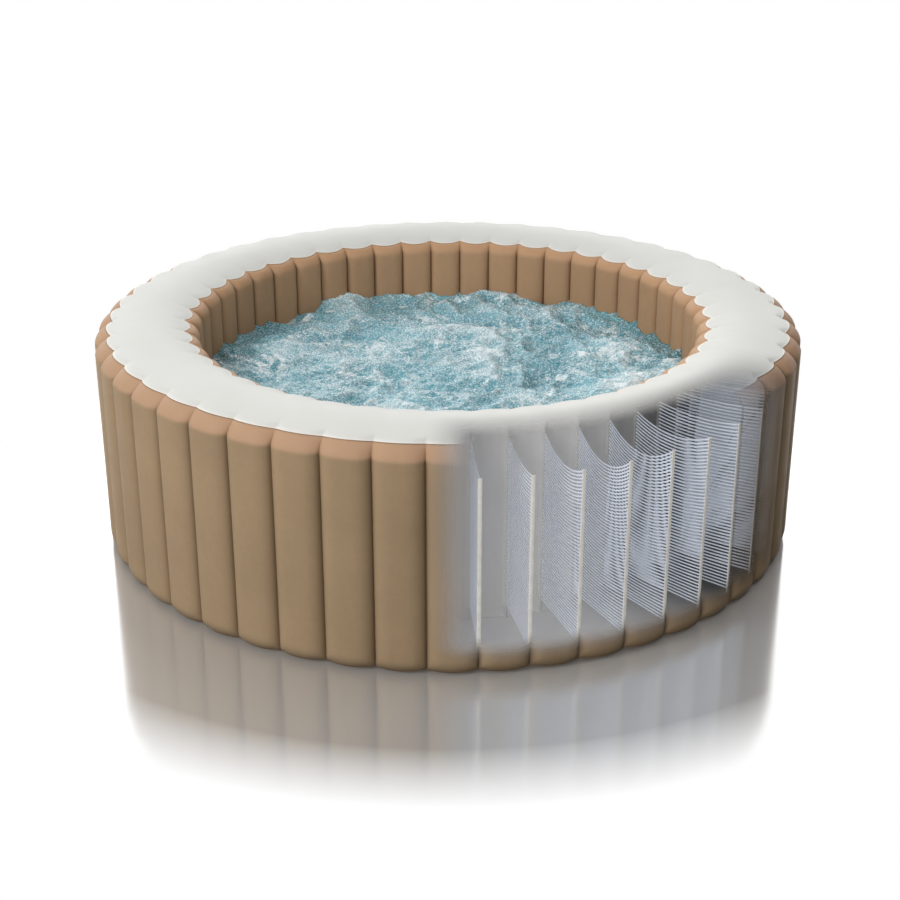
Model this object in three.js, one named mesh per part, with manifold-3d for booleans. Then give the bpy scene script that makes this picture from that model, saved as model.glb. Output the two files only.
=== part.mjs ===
// A round inflatable hot tub with fluted walls: skins, tension webs, water, air and drain ports.
// Millimetres, +Z up. The origin is on the ground at the tub's axis, and +Y points at the ports.
// An azimuth is in degrees, 0 at -Y (the front), growing towards +X.
import * as THREE from "three";
import { mergeVertices } from "three/addons/utils/BufferGeometryUtils.js";
import Module from "manifold-3d";

const wasm = await Module();
wasm.setup();

// ---- Driving dimensions -------------------------------------------------------------------
const FLUTES = 48; // air columns round the tub, one web at each seam between them
const FLUTE_ANGLE = 360 / FLUTES;
const FLAT_SHARE = 0.55; // how much of half a flute is its flat crest

const OUTER_SEAM_R = 1056;
const OUTER_CREST_R = 1080;
const INNER_SEAM_R = 788;
const INNER_CREST_R = 766;
const SHOULDER_Z = 606; // where the upright outer wall begins to turn over
const WELD_Z = 646; // the weld of the top panel to both walls
const CROWN_Z = 668; // the highest line of the top panel
const SKIN = 1.2; // laminated vinyl
const BASE_SHEET = 1.5;
const GAP = 0.3; // between touching pieces

// A weld's radius at a seam and at the middle of a flute.
const OUTER_WELD = { seam: 1027, crest: 1042 };
const INNER_WELD = { seam: 816, crest: 795 };
const WELD_RISE = { outer: 5, inner: -5 }; // a weld's height at the middle of a flute, over a seam
const LAP = 2; // how far the top panel laps over each weld
const CROWN_SHARE = 0.45; // how much of the top panel's half width is its flat crown
const PANEL_LIFT = 1; // between the walls' edges and the top panel that laps over them

// The outer wall's foot turns in to the base sheet, and its shoulder turns over to the weld.
const FOOT_EDGE = { seam: 1046, crest: 1064 };
const FOOT_Z = { seam: 9, crest: 17 };
const BASE_LIP = 2; // how far the base sheet reaches past the wall's foot
const OUTER_TURN = { seam: 1050, crest: 1073, z: 630 };
const INNER_TURN_Z = 618;

const WEB_STEP = 2; // every second web is a node of its own
const WEB = { bottom: 45, top: 560, thickness: 1.5, outerStrip: 12, innerStrip: 22, strip: 1.2 };

const OUTER_FACE = OUTER_CREST_R * Math.cos(rad((FLAT_SHARE * FLUTE_ANGLE) / 2));
const INNER_FACE = INNER_CREST_R * Math.cos(rad((FLAT_SHARE * FLUTE_ANGLE) / 2));

// Where each port goes through, on the middle of a flute.
const PORTS = {
  water_inlet: { azimuth: 172.5, z: 235 },
  water_outlet: { azimuth: 187.5, z: 235 },
  air: { azimuth: 180, z: 110 },
  drain: { azimuth: 195, z: 75 },
  inflation: { azimuth: 157.5, z: 560 },
};
const WATER_PIPE = { bore: 18.5, neck: 21.4, sleeve: 22, sleeveOut: 24.5, spout: 24, spoutEnd: 28 };
const AIR_PIPE = { bore: 12, neck: 17.2, sleeve: 18, sleeveOut: 20.5, spout: 18, spoutEnd: 24 };
const DRAIN_PIPE = { bore: 12, neck: 14.4, sleeve: 15, sleeveOut: 17.5, spout: 17, spoutEnd: 22 };
const FLANGE = 4; // thickness of an outer fitting's flange
const OUTER_FLANGE_R = 37;
const INNER_FLANGE_R = 27;
const INNER_FLANGE = 3;
const SLEEVE_FLANGE_R = 34;
const SLEEVE_FLANGE = 2;

const NECK = 20; // how far a fitting's neck reaches into its sleeve
const RING = { radius: 748, z: 15.5, tube: 12.5, wall: 1.5, corners: 6, sides: 36 };
const JET = { count: 24, size: 2.5 };
const ROUND = 20; // sides of a round fitting

// ---- Colours ------------------------------------------------------------------------------
const tan = () => new THREE.MeshStandardMaterial({ color: 0xa08868, roughness: 0.5 });
const white = () => new THREE.MeshStandardMaterial({ color: 0xeeeeec, roughness: 0.45 });
const fibre = () => new THREE.MeshStandardMaterial({ color: 0xdfe6f0, roughness: 0.8 });
const dark = () => new THREE.MeshStandardMaterial({ color: 0x2b2b2d, roughness: 0.5 });
const grey = () => new THREE.MeshStandardMaterial({ color: 0x9a9c9e, roughness: 0.5 });
const rubber = () => new THREE.MeshStandardMaterial({ color: 0x1c1c1c, roughness: 0.9 });
const steel = () => new THREE.MeshStandardMaterial({ color: 0xc0c4c8, roughness: 0.3, metalness: 1 });

const tub = new THREE.Group();

// ---- Small helpers ------------------------------------------------------------------------
function rad(degrees) {
  return (degrees * Math.PI) / 180;
}

function polar(radius, azimuth, z) {
  return [radius * Math.sin(rad(azimuth)), -radius * Math.cos(rad(azimuth)), z];
}

function addMesh(name, geometry, material, parent = tub) {
  const mesh = new THREE.Mesh(geometry, material);
  mesh.name = name;
  parent.add(mesh);
  return mesh;
}

// A closed geometry as a solid that can be cut and joined.
function solidOf(geometry) {
  const bare = new THREE.BufferGeometry().setAttribute("position", geometry.getAttribute("position"));
  if (geometry.index) bare.setIndex(geometry.index);
  const merged = mergeVertices(bare, 1e-4);
  const mesh = new wasm.Mesh({
    numProp: 3,
    vertProperties: new Float32Array(merged.attributes.position.array),
    triVerts: new Uint32Array(merged.index.array),
  });
  return new wasm.Manifold(mesh);
}

function geometryOf(solid) {
  const mesh = solid.getMesh();
  const geometry = new THREE.BufferGeometry();
  geometry.setAttribute("position", new THREE.BufferAttribute(mesh.vertProperties, 3));
  geometry.setIndex(new THREE.BufferAttribute(mesh.triVerts, 1));
  return geometry;
}

const join = (...solids) => solids.reduce((all, one) => all.add(one));
const cut = (solid, ...cutters) => cutters.reduce((left, one) => left.subtract(one), solid);

// A solid of revolution about Z from a closed outline of [radius, z] points, counter-clockwise.
function turned(outline, sides = ROUND) {
  const points = [...outline, outline[0]].map(([r, z]) => new THREE.Vector2(r, z));
  return solidOf(new THREE.LatheGeometry(points, sides).rotateX(Math.PI / 2));
}

function tube(inside, outside, low, high, sides = ROUND) {
  return turned([[inside, low], [outside, low], [outside, high], [inside, high]], sides);
}

function disc(radius, low, high, sides = ROUND) {
  const geometry = new THREE.CylinderGeometry(radius, radius, high - low, sides);
  return solidOf(geometry.rotateX(Math.PI / 2).translate(0, 0, (low + high) / 2));
}

function block(sizeX, sizeY, low, high, x = 0, y = 0) {
  return solidOf(new THREE.BoxGeometry(sizeX, sizeY, high - low).translate(x, y, (low + high) / 2));
}

// A disc whose edge has ribs to grip, from low to high.
function ribbed(radius, ribs, depth, low, high) {
  const outline = new THREE.Shape();
  const corners = ribs * 4;
  for (let i = 0; i < corners; i++) {
    const r = i % 4 < 2 ? radius : radius - depth;
    const angle = (2 * Math.PI * i) / corners;
    outline[i ? "lineTo" : "moveTo"](r * Math.cos(angle), r * Math.sin(angle));
  }
  const geometry = new THREE.ExtrudeGeometry(outline, { depth: high - low, bevelEnabled: false });
  return solidOf(geometry.translate(0, 0, low));
}

// ---- Sheets with flutes -------------------------------------------------------------------
// The columns of a fluted sheet: one at each seam and one at each end of a flute's flat crest.
function fluteColumns() {
  const columns = [];
  for (let flute = 0; flute < FLUTES; flute++) {
    const middle = flute * FLUTE_ANGLE;
    const half = FLUTE_ANGLE / 2;
    columns.push({ azimuth: middle - half, crest: 0 });
    columns.push({ azimuth: middle - FLAT_SHARE * half, crest: 1 });
    columns.push({ azimuth: middle + FLAT_SHARE * half, crest: 1 });
  }
  return columns;
}

// The same outline moved to its left by the thickness, with mitred corners.
function offsetOutline(points, thickness) {
  return points.map((point, i) => {
    const normals = [];
    for (const [a, b] of [[i - 1, i], [i, i + 1]]) {
      if (a < 0 || b >= points.length) continue;
      const along = new THREE.Vector2(points[b][0] - points[a][0], points[b][1] - points[a][1]);
      normals.push(new THREE.Vector2(-along.y, along.x).normalize());
    }
    const sum = normals.reduce((total, n) => total.add(n), new THREE.Vector2()).normalize();
    const reach = thickness / sum.dot(normals[normals.length - 1]);
    return [point[0] + sum.x * reach, point[1] + sum.y * reach];
  });
}

// A sheet round the tub between two outlines of [radius, z] points, one at the seams and one at
// the crests. Its outside is on the right of the outline's direction, and it thickens to the left.
function flutedSheet(atSeam, atCrest) {
  const rows = atSeam.length;
  const positions = [];
  const columns = fluteColumns();
  for (const column of columns) {
    const outside = column.crest ? atCrest : atSeam;
    const inside = offsetOutline(outside, SKIN);
    for (const [r, z] of [...outside, ...inside.reverse()]) {
      positions.push(...polar(r, column.azimuth, z));
    }
  }
  const loop = rows * 2;
  const faces = [];
  for (let c = 0; c < columns.length; c++) {
    const next = (c + 1) % columns.length;
    for (let p = 0; p < loop; p++) {
      const q = (p + 1) % loop;
      const [a, b, d, e] = [c * loop + p, next * loop + p, next * loop + q, c * loop + q];
      // Both surfaces are split along the same diagonal, so that they stay parallel.
      const within = p >= rows && p < loop - 1;
      faces.push(...(within ? [a, b, e, b, d, e] : [a, b, d, a, d, e]));
    }
  }
  const geometry = new THREE.BufferGeometry();
  geometry.setAttribute("position", new THREE.Float32BufferAttribute(positions, 3));
  geometry.setIndex(faces);
  return solidOf(geometry);
}

function outerWall() {
  const low = BASE_SHEET + GAP;
  const seam = [
    [FOOT_EDGE.seam, low],
    [OUTER_SEAM_R, FOOT_Z.seam],
    [OUTER_SEAM_R, SHOULDER_Z],
    [OUTER_TURN.seam, OUTER_TURN.z],
    [OUTER_WELD.seam, WELD_Z],
  ];
  const crest = [
    [FOOT_EDGE.crest, low],
    [OUTER_CREST_R, FOOT_Z.crest],
    [OUTER_CREST_R, SHOULDER_Z],
    [OUTER_TURN.crest, OUTER_TURN.z],
    [OUTER_WELD.crest, WELD_Z + WELD_RISE.outer],
  ];
  return flutedSheet(seam, crest);
}

function innerWall() {
  const low = BASE_SHEET + GAP;
  const seam = [
    [INNER_WELD.seam, WELD_Z],
    [INNER_SEAM_R, INNER_TURN_Z],
    [INNER_SEAM_R, low],
  ];
  const crest = [
    [INNER_WELD.crest, WELD_Z + WELD_RISE.inner],
    [INNER_CREST_R, INNER_TURN_Z],
    [INNER_CREST_R, low],
  ];
  return flutedSheet(seam, crest);
}

// The base sheet follows the flutes, a little past the outer wall's foot.
function baseSheet() {
  const outline = fluteColumns().map(({ azimuth, crest }) => {
    const radius = (crest ? FOOT_EDGE.crest : FOOT_EDGE.seam) + BASE_LIP;
    const [x, y] = polar(radius, azimuth, 0);
    return new THREE.Vector2(x, y);
  });
  const shape = new THREE.Shape(outline);
  return solidOf(new THREE.ExtrudeGeometry(shape, { depth: BASE_SHEET, bevelEnabled: false }));
}

// The top panel rises from its two welds to a flat crown, a gap above the walls' edges.
function topPanel() {
  const outline = (outer, inner, rise) => {
    const middle = (outer + inner) / 2;
    const half = (outer - inner) / 2;
    const edge = WELD_Z + PANEL_LIFT + GAP + SKIN;
    return [
      [outer, edge + rise.outer],
      [middle + CROWN_SHARE * half, CROWN_Z],
      [middle - CROWN_SHARE * half, CROWN_Z],
      [inner, edge + rise.inner],
    ];
  };
  const level = { outer: 0, inner: 0 };
  return flutedSheet(
    outline(OUTER_WELD.seam + LAP, INNER_WELD.seam - LAP, level),
    outline(OUTER_WELD.crest + LAP, INNER_WELD.crest - LAP, WELD_RISE),
  );
}

// ---- Webs ---------------------------------------------------------------------------------
// A web of fibre between the walls: a thin sheet with a weld strip along each upright edge.
function webGeometry() {
  const outer = OUTER_SEAM_R - SKIN - GAP - WEB.strip * 2;
  const inner = INNER_SEAM_R + SKIN + GAP + WEB.strip * 2;
  const halfSheet = WEB.thickness / 2;
  const half = [
    [WEB.innerStrip / 2, inner],
    [WEB.innerStrip / 2, inner + WEB.strip],
    [halfSheet, inner + WEB.strip],
    [halfSheet, outer - WEB.strip],
    [WEB.outerStrip / 2, outer - WEB.strip],
    [WEB.outerStrip / 2, outer],
  ];
  const mirrored = half.map(([x, r]) => [-x, r]).reverse();
  const outline = new THREE.Shape([...half, ...mirrored].map(([x, r]) => new THREE.Vector2(x, -r)));
  return new THREE.ExtrudeGeometry(outline, { depth: WEB.top - WEB.bottom, bevelEnabled: false });
}

function addWebs() {
  const geometry = webGeometry();
  const count = FLUTES / WEB_STEP;
  for (let i = 0; i < count; i++) {
    const azimuth = (i * WEB_STEP + 0.5) * FLUTE_ANGLE;
    const name = "tension_web_" + String(i + 1).padStart(2, "0");
    const web = addMesh(name, geometry, fibre());
    web.position.z = WEB.bottom;
    web.rotation.z = rad(azimuth);
  }
}

// ---- Ports --------------------------------------------------------------------------------
// A port's frame: Z points out of the tub, Y up, and Z is 0 on the tub's axis.
function portMatrix({ azimuth, z }) {
  const [x, y] = polar(1, azimuth, 0);
  const out = new THREE.Vector3(x, y, 0);
  const up = new THREE.Vector3(0, 0, 1);
  const side = new THREE.Vector3().crossVectors(up, out);
  return new THREE.Matrix4().makeBasis(side, up, out).setPosition(0, 0, z);
}

function portGroup(name) {
  const group = new THREE.Group();
  group.applyMatrix4(portMatrix(PORTS[name]));
  tub.add(group);
  return group;
}

function inPort(name, solid) {
  return solid.transform(portMatrix(PORTS[name]).elements);
}

// The tube that carries a port through the air chamber, with a flange on each wall.
function sleeve(pipe) {
  const inner = INNER_FACE + SKIN + GAP;
  const outer = OUTER_FACE - SKIN - GAP;
  return turned([
    [pipe.sleeve, inner],
    [INNER_FLANGE_R, inner],
    [INNER_FLANGE_R, inner + SLEEVE_FLANGE],
    [pipe.sleeveOut, inner + SLEEVE_FLANGE],
    [pipe.sleeveOut, outer - SLEEVE_FLANGE],
    [SLEEVE_FLANGE_R, outer - SLEEVE_FLANGE],
    [SLEEVE_FLANGE_R, outer],
    [pipe.sleeve, outer],
  ]);
}

const FLANGE_LOW = OUTER_FACE + GAP;
const FLANGE_HIGH = FLANGE_LOW + FLANGE;
const NECK_END = FLANGE_LOW - NECK;

// The outer fitting: a flange on the wall, a neck into the sleeve and a spout for the cap.
function outerFitting(pipe) {
  return turned([
    [pipe.bore, NECK_END],
    [pipe.neck, NECK_END],
    [pipe.neck, FLANGE_LOW],
    [OUTER_FLANGE_R, FLANGE_LOW],
    [OUTER_FLANGE_R, FLANGE_HIGH],
    [pipe.spout, FLANGE_HIGH],
    [pipe.spout, FLANGE_HIGH + pipe.spoutEnd],
    [pipe.bore, FLANGE_HIGH + pipe.spoutEnd],
  ]);
}

const SEAL = { thickness: 1.6, margin: 1 };
const CAP = { wall: 5, ribs: 9, ribDepth: 1.2, stand: 3, end: 3, threadGap: 0.6 };

function capSeal(pipe) {
  const low = FLANGE_HIGH + pipe.spoutEnd + GAP;
  return tube(pipe.bore - SEAL.margin, pipe.spout - SEAL.margin, low, low + SEAL.thickness);
}

// A screw cap over the spout, with ribs to grip.
function screwCap(pipe) {
  const end = FLANGE_HIGH + pipe.spoutEnd + GAP + SEAL.thickness + GAP;
  const radius = pipe.spout + CAP.wall;
  const outside = ribbed(radius, CAP.ribs, CAP.ribDepth, FLANGE_HIGH + CAP.stand, end + CAP.end);
  return cut(outside, disc(pipe.spout + CAP.threadGap, FLANGE_HIGH, end));
}

function addCappedPort(name, pipe, fitting = outerFitting(pipe)) {
  const group = portGroup(name);
  addMesh(name + "_sleeve", geometryOf(sleeve(pipe)), grey(), group);
  addMesh(name + "_fitting", geometryOf(fitting), dark(), group);
  addMesh(name + "_cap_seal", geometryOf(capSeal(pipe)), rubber(), group);
  addMesh(name + "_cap", geometryOf(screwCap(pipe)), dark(), group);
  return group;
}

// ---- Water ports --------------------------------------------------------------------------
const BASKET = { radius: 25, ribs: 8, ribDepth: 1, depth: 16, hollow: 21.5, face: 2.5 };
const SLOT = { rows: [-10, 0, 10], height: 4, reach: 18 };
const PAST = 1; // how far a cutter goes past the piece that it cuts

function strainerHousing(pipe) {
  const face = INNER_FACE - GAP;
  return turned([
    [pipe.bore, face - INNER_FLANGE],
    [INNER_FLANGE_R, face - INNER_FLANGE],
    [INNER_FLANGE_R, face],
    [pipe.neck, face],
    [pipe.neck, face + NECK],
    [pipe.bore, face + NECK],
  ]);
}

// The strainer: a shallow basket with slots in its face, which turns off the housing.
function strainerBasket() {
  const back = INNER_FACE - GAP - INNER_FLANGE - GAP;
  const front = back - BASKET.depth;
  const outside = ribbed(BASKET.radius, BASKET.ribs, BASKET.ribDepth, front, back);
  const hollow = disc(BASKET.hollow, front + BASKET.face, back + PAST);
  const slots = SLOT.rows.map((y) => {
    const length = 2 * Math.sqrt(SLOT.reach ** 2 - y ** 2);
    return block(length, SLOT.height, front - PAST, front + BASKET.face + PAST, 0, y);
  });
  return cut(outside, hollow, ...slots);
}

function addWaterPort(name) {
  const group = addCappedPort(name, WATER_PIPE);
  addMesh(name + "_strainer_housing", geometryOf(strainerHousing(WATER_PIPE)), grey(), group);
  addMesh(name + "_strainer", geometryOf(strainerBasket()), grey(), group);
}

// ---- Air port, flap and jet ring ----------------------------------------------------------
const FLAP = { radius: 14.6, thickness: 1.6, hingeY: 13.2, knuckle: 1.5, bore: 0.9, bar: 0.6 };
const FLAP_KNUCKLE = { half: 6, tongue: 3, tongueBelow: 2 };
const FLAP_EAR = { from: 9.2, to: 10.3, low: 12, high: 13.9, gap: 0.4, clearBelow: 3 };
const ELBOW = { outside: 16, inside: 13, leg: 10, legBore: 7.5, intoRing: 4, sides: 16 };
const FEED = { gap: 0.6, aboveMiddle: 5 }; // the hole in the ring that takes the elbow's leg
const FLAP_SEAT = NECK_END - GAP;
const FLAP_AXIS_Z = FLAP_SEAT - FLAP.thickness;

// A round bar along X at the flap's hinge.
function flapBar(radius, half) {
  const bar = new THREE.CylinderGeometry(radius, radius, 2 * half, 10).rotateZ(Math.PI / 2);
  return solidOf(bar.translate(0, FLAP.hingeY, FLAP_AXIS_Z));
}

// The air fitting's neck carries the flap's hinge bar between two small ears.
function airFitting() {
  const middle = (FLAP_EAR.from + FLAP_EAR.to) / 2;
  const width = FLAP_EAR.to - FLAP_EAR.from;
  const depth = FLAP_EAR.high - FLAP_EAR.low;
  const height = (FLAP_EAR.high + FLAP_EAR.low) / 2;
  const ears = [-middle, middle].map((x) =>
    block(width, depth, FLAP_AXIS_Z - PAST, NECK_END + PAST, x, height),
  );
  return join(outerFitting(AIR_PIPE), flapBar(FLAP.bar, middle), ...ears);
}

// The non-return flap hangs from the bar inside the sleeve and closes the neck.
function airFlap() {
  const wide = FLAP.radius;
  const [low, high] = [FLAP_AXIS_Z - PAST, FLAP_SEAT + PAST];
  const plate = disc(FLAP.radius, FLAP_AXIS_Z, FLAP_SEAT);
  const top = block(2 * wide, wide, low, high, 0, FLAP.hingeY - FLAP.knuckle + wide / 2);
  const cornerX = FLAP_EAR.from - FLAP_EAR.gap + wide / 2;
  const cornerY = FLAP_EAR.low - FLAP_EAR.clearBelow + wide / 2;
  const corners = [-cornerX, cornerX].map((x) => block(wide, wide, low, high, x, cornerY));
  const { half, tongue, tongueBelow } = FLAP_KNUCKLE;
  const neckY = FLAP.hingeY - tongueBelow;
  const neck = block(2 * half, tongue, FLAP_AXIS_Z, FLAP_SEAT - GAP, 0, neckY);
  const flap = join(cut(plate, top, ...corners), flapBar(FLAP.knuckle, half), neck);
  return cut(flap, flapBar(FLAP.bore, wide));
}

// The elbow leads from the sleeve down into the ring.
function airElbow() {
  const face = INNER_FACE - GAP;
  const drop = PORTS.air.z - RING.z - RING.tube + ELBOW.intoRing;
  const leg = (radius, past) => {
    const geometry = new THREE.CylinderGeometry(radius, radius, drop + past, ELBOW.sides);
    return solidOf(geometry.translate(0, -(drop + past) / 2, RING.radius));
  };
  const outside = join(
    disc(ELBOW.outside, RING.radius - ELBOW.outside, face, ELBOW.sides),
    disc(INNER_FLANGE_R, face - INNER_FLANGE, face, ELBOW.sides),
    leg(ELBOW.leg, 0),
  );
  const bore = disc(ELBOW.inside, RING.radius - ELBOW.inside, face + PAST, ELBOW.sides);
  return cut(outside, bore, leg(ELBOW.legBore, PAST));
}

// The ring of jets lies in the corner of the pool, a tube with a row of small holes on top.
function airRing() {
  const section = (radius) => {
    const points = [];
    for (let i = 0; i < RING.corners; i++) {
      const angle = (2 * Math.PI * i) / RING.corners;
      points.push([RING.radius + radius * Math.cos(angle), RING.z + radius * Math.sin(angle)]);
    }
    return turned(points, RING.sides);
  };
  const hollow = cut(section(RING.tube), section(RING.tube - RING.wall));
  const over = RING.z + RING.tube * 2;
  const jets = [];
  for (let i = 0; i < JET.count; i++) {
    const [x, y] = polar(RING.radius, ((i + 0.5) * 360) / JET.count, 0);
    jets.push(block(JET.size, JET.size, RING.z, over, x, y));
  }
  const feed = disc(ELBOW.leg + FEED.gap, RING.z + FEED.aboveMiddle, over, ELBOW.sides);
  return cut(hollow, ...jets, feed.translate(polar(RING.radius, PORTS.air.azimuth, 0)));
}

function addAirPort() {
  const group = addCappedPort("air", AIR_PIPE, airFitting());
  addMesh("air_non_return_flap", geometryOf(airFlap()), rubber(), group);
  addMesh("air_feed_elbow", geometryOf(airElbow()), grey(), group);
  addMesh("air_jet_ring", geometryOf(airRing()), grey());
}

// ---- Drain --------------------------------------------------------------------------------
const PLUG = { gap: 1.2, stem: 14, rim: 20 };
const PULL = { width: 5, height: 16, out: 12, bar: 3, eye: 8 };

// The plug pushes into the sleeve from the pool, and has a loop to pull it out by.
function drainPlug() {
  const face = INNER_FACE - GAP;
  const front = face - INNER_FLANGE;
  const stem = disc(DRAIN_PIPE.sleeve - PLUG.gap, face, face + PLUG.stem);
  const rim = disc(PLUG.rim, front, face);
  const loop = block(PULL.width, PULL.height, front - PULL.out, front);
  const eye = block(PULL.width + 2 * PAST, PULL.eye, front - PULL.out + PULL.bar, front - PULL.bar);
  return join(stem, rim, cut(loop, eye));
}

function addDrain() {
  const group = addCappedPort("drain", DRAIN_PIPE);
  addMesh("drain_inner_plug", geometryOf(drainPlug()), rubber(), group);
}

// ---- Inflation valve ----------------------------------------------------------------------
// seat, bridge and button are the distances from the wall in to those faces.
const VALVE = { flangeR: 27, flange: 3, barrelR: 17, wallGap: 0.5, bore: 13.5, depth: 34, sides: 16 };
const SEAT = { inward: 24, bore: 8.5, thickness: 3 };
const BRIDGE = { inward: 16, width: 4, thickness: 2, boss: 4.5, guide: 2.2 };
const POPPET = { head: 10.8, headThickness: 3, stem: 1.8, button: 5, buttonThickness: 2.5, inward: 5 };
const SPRING = { turns: 3, radius: 3.3, wire: 0.4, steps: 8, corners: 5 };
const LID = { radius: 20, thickness: 4, knuckle: 2.5, width: 10, arm: 8 };
const LID_PLUG = { radius: 12.3, depth: 5, wall: 1.5 };
const LID_GRIP = { width: 12, depth: 6, low: 0.6, high: 3, out: 1 };
const LID_EAR = { x: 7, width: 3, depth: 5, over: 2.5 };
const LID_PIN = 1.2;

const VALVE_FACE = FLANGE_LOW + VALVE.flange;
const SEAT_LOW = FLANGE_LOW - SEAT.inward;
const BRIDGE_LOW = FLANGE_LOW - BRIDGE.inward;
const BUTTON_LOW = FLANGE_LOW - POPPET.inward;
const LID_HINGE = { y: VALVE.flangeR - 3, z: VALVE_FACE + 3 };

// A round bar along X at the valve cap's hinge.
function valvePin(radius, half) {
  const pin = new THREE.CylinderGeometry(radius, radius, 2 * half, 12).rotateZ(Math.PI / 2);
  return solidOf(pin.translate(0, LID_HINGE.y, LID_HINGE.z));
}

function valveBody() {
  const barrel = tube(VALVE.bore, VALVE.barrelR, FLANGE_LOW - VALVE.depth, VALVE_FACE);
  const flange = tube(VALVE.bore, VALVE.flangeR, FLANGE_LOW, VALVE_FACE);
  const seat = tube(SEAT.bore, VALVE.barrelR - PAST, SEAT_LOW, SEAT_LOW + SEAT.thickness);
  const bridgeHigh = BRIDGE_LOW + BRIDGE.thickness;
  const bar = block(2 * (VALVE.bore + PAST), BRIDGE.width, BRIDGE_LOW, bridgeHigh);
  const boss = disc(BRIDGE.boss, BRIDGE_LOW, bridgeHigh, VALVE.sides);
  const guide = disc(BRIDGE.guide, BRIDGE_LOW - PAST, bridgeHigh + PAST, VALVE.sides);
  const earTop = LID_HINGE.z + LID_EAR.over;
  const ears = [-LID_EAR.x, LID_EAR.x].map((x) =>
    block(LID_EAR.width, LID_EAR.depth, VALVE_FACE - PAST, earTop, x, LID_HINGE.y),
  );
  return cut(join(barrel, flange, seat, bar, boss, valvePin(LID_PIN, LID_EAR.x), ...ears), guide);
}

function valvePoppet() {
  const headHigh = SEAT_LOW - GAP;
  const head = disc(POPPET.head, headHigh - POPPET.headThickness, headHigh, VALVE.sides);
  const stem = disc(POPPET.stem, headHigh - PAST, BUTTON_LOW + PAST, VALVE.sides);
  const button = disc(POPPET.button, BUTTON_LOW, BUTTON_LOW + POPPET.buttonThickness, VALVE.sides);
  return join(head, stem, button);
}

// The spring stands on the bridge round the stem and pushes the button out.
function valveSpring() {
  const { turns, radius, wire, steps, corners } = SPRING;
  const low = BRIDGE_LOW + BRIDGE.thickness + GAP + wire;
  const high = BUTTON_LOW - GAP - wire;
  const points = [];
  for (let i = 0; i <= turns * steps; i++) {
    const angle = (2 * Math.PI * i) / steps;
    const z = low + ((high - low) * i) / (turns * steps);
    points.push(new THREE.Vector3(radius * Math.cos(angle), radius * Math.sin(angle), z));
  }
  const section = new THREE.Shape();
  for (let i = 0; i < corners; i++) {
    const angle = (2 * Math.PI * i) / corners;
    section[i ? "lineTo" : "moveTo"](wire * Math.cos(angle), wire * Math.sin(angle));
  }
  const extrudePath = new THREE.CatmullRomCurve3(points);
  const options = { steps: turns * (steps + 1), bevelEnabled: false, extrudePath };
  return new THREE.ExtrudeGeometry(section, options);
}

// The valve's cap: a lid with a hollow plug under it, an arm to its hinge and a lip to lift.
function valveCap() {
  const low = VALVE_FACE + GAP;
  const high = low + LID.thickness;
  const lid = disc(LID.radius, low, high);
  const plug = disc(LID_PLUG.radius, low - LID_PLUG.depth, low);
  const hollowR = LID_PLUG.radius - LID_PLUG.wall;
  const hollow = disc(hollowR, low - LID_PLUG.depth - PAST, low - LID_PLUG.wall);
  const arm = block(LID.width, LID.arm, low, high, 0, LID_HINGE.y - LID.arm / 2);
  const knuckle = valvePin(LID.knuckle, LID.width / 2);
  const gripY = -LID.radius - LID_GRIP.out;
  const grip = block(LID_GRIP.width, LID_GRIP.depth, low + LID_GRIP.low, low + LID_GRIP.high, 0, gripY);
  return cut(join(lid, plug, arm, knuckle, grip), hollow, valvePin(LID_PIN + GAP, LID.radius));
}

function addInflationValve() {
  const group = portGroup("inflation");
  addMesh("inflation_valve_body", geometryOf(valveBody()), dark(), group);
  addMesh("inflation_valve_poppet", geometryOf(valvePoppet()), grey(), group);
  addMesh("inflation_valve_spring", valveSpring(), steel(), group);
  addMesh("inflation_valve_cap", geometryOf(valveCap()), dark(), group);
}

// ---- The tub ------------------------------------------------------------------------------
const THROUGH = 50; // how far a hole's cutter passes both walls

function addSkins() {
  const pipes = {
    water_inlet: WATER_PIPE,
    water_outlet: WATER_PIPE,
    air: AIR_PIPE,
    drain: DRAIN_PIPE,
  };
  const through = Object.entries(pipes).map(([name, pipe]) =>
    inPort(name, disc(pipe.sleeve, INNER_CREST_R - THROUGH, OUTER_CREST_R + THROUGH)),
  );
  const valveHole = inPort(
    "inflation",
    disc(VALVE.barrelR + VALVE.wallGap, SEAT_LOW, OUTER_CREST_R + THROUGH),
  );
  addMesh("outer_wall", geometryOf(cut(outerWall(), ...through, valveHole)), tan());
  addMesh("inner_wall", geometryOf(cut(innerWall(), ...through)), tan());
  addMesh("top_panel", geometryOf(topPanel()), white());
  addMesh("base_sheet", geometryOf(baseSheet()), tan());
}

addSkins();
addWebs();
addWaterPort("water_inlet");
addWaterPort("water_outlet");
addAirPort();
addDrain();
addInflationValve();

export default tub;
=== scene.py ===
"""Looks of the round inflatable hot tub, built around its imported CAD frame.

Metres, +Z up, the origin on the ground at the tub's axis. An azimuth is in degrees, 0 at -Y (the
front), growing towards +X. The tub has 48 flutes, and a fibre web ties the walls at every seam.
"""

import math
from collections import namedtuple

import bmesh
import bpy
import numpy as np
from mathutils import Matrix, Vector, noise


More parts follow.
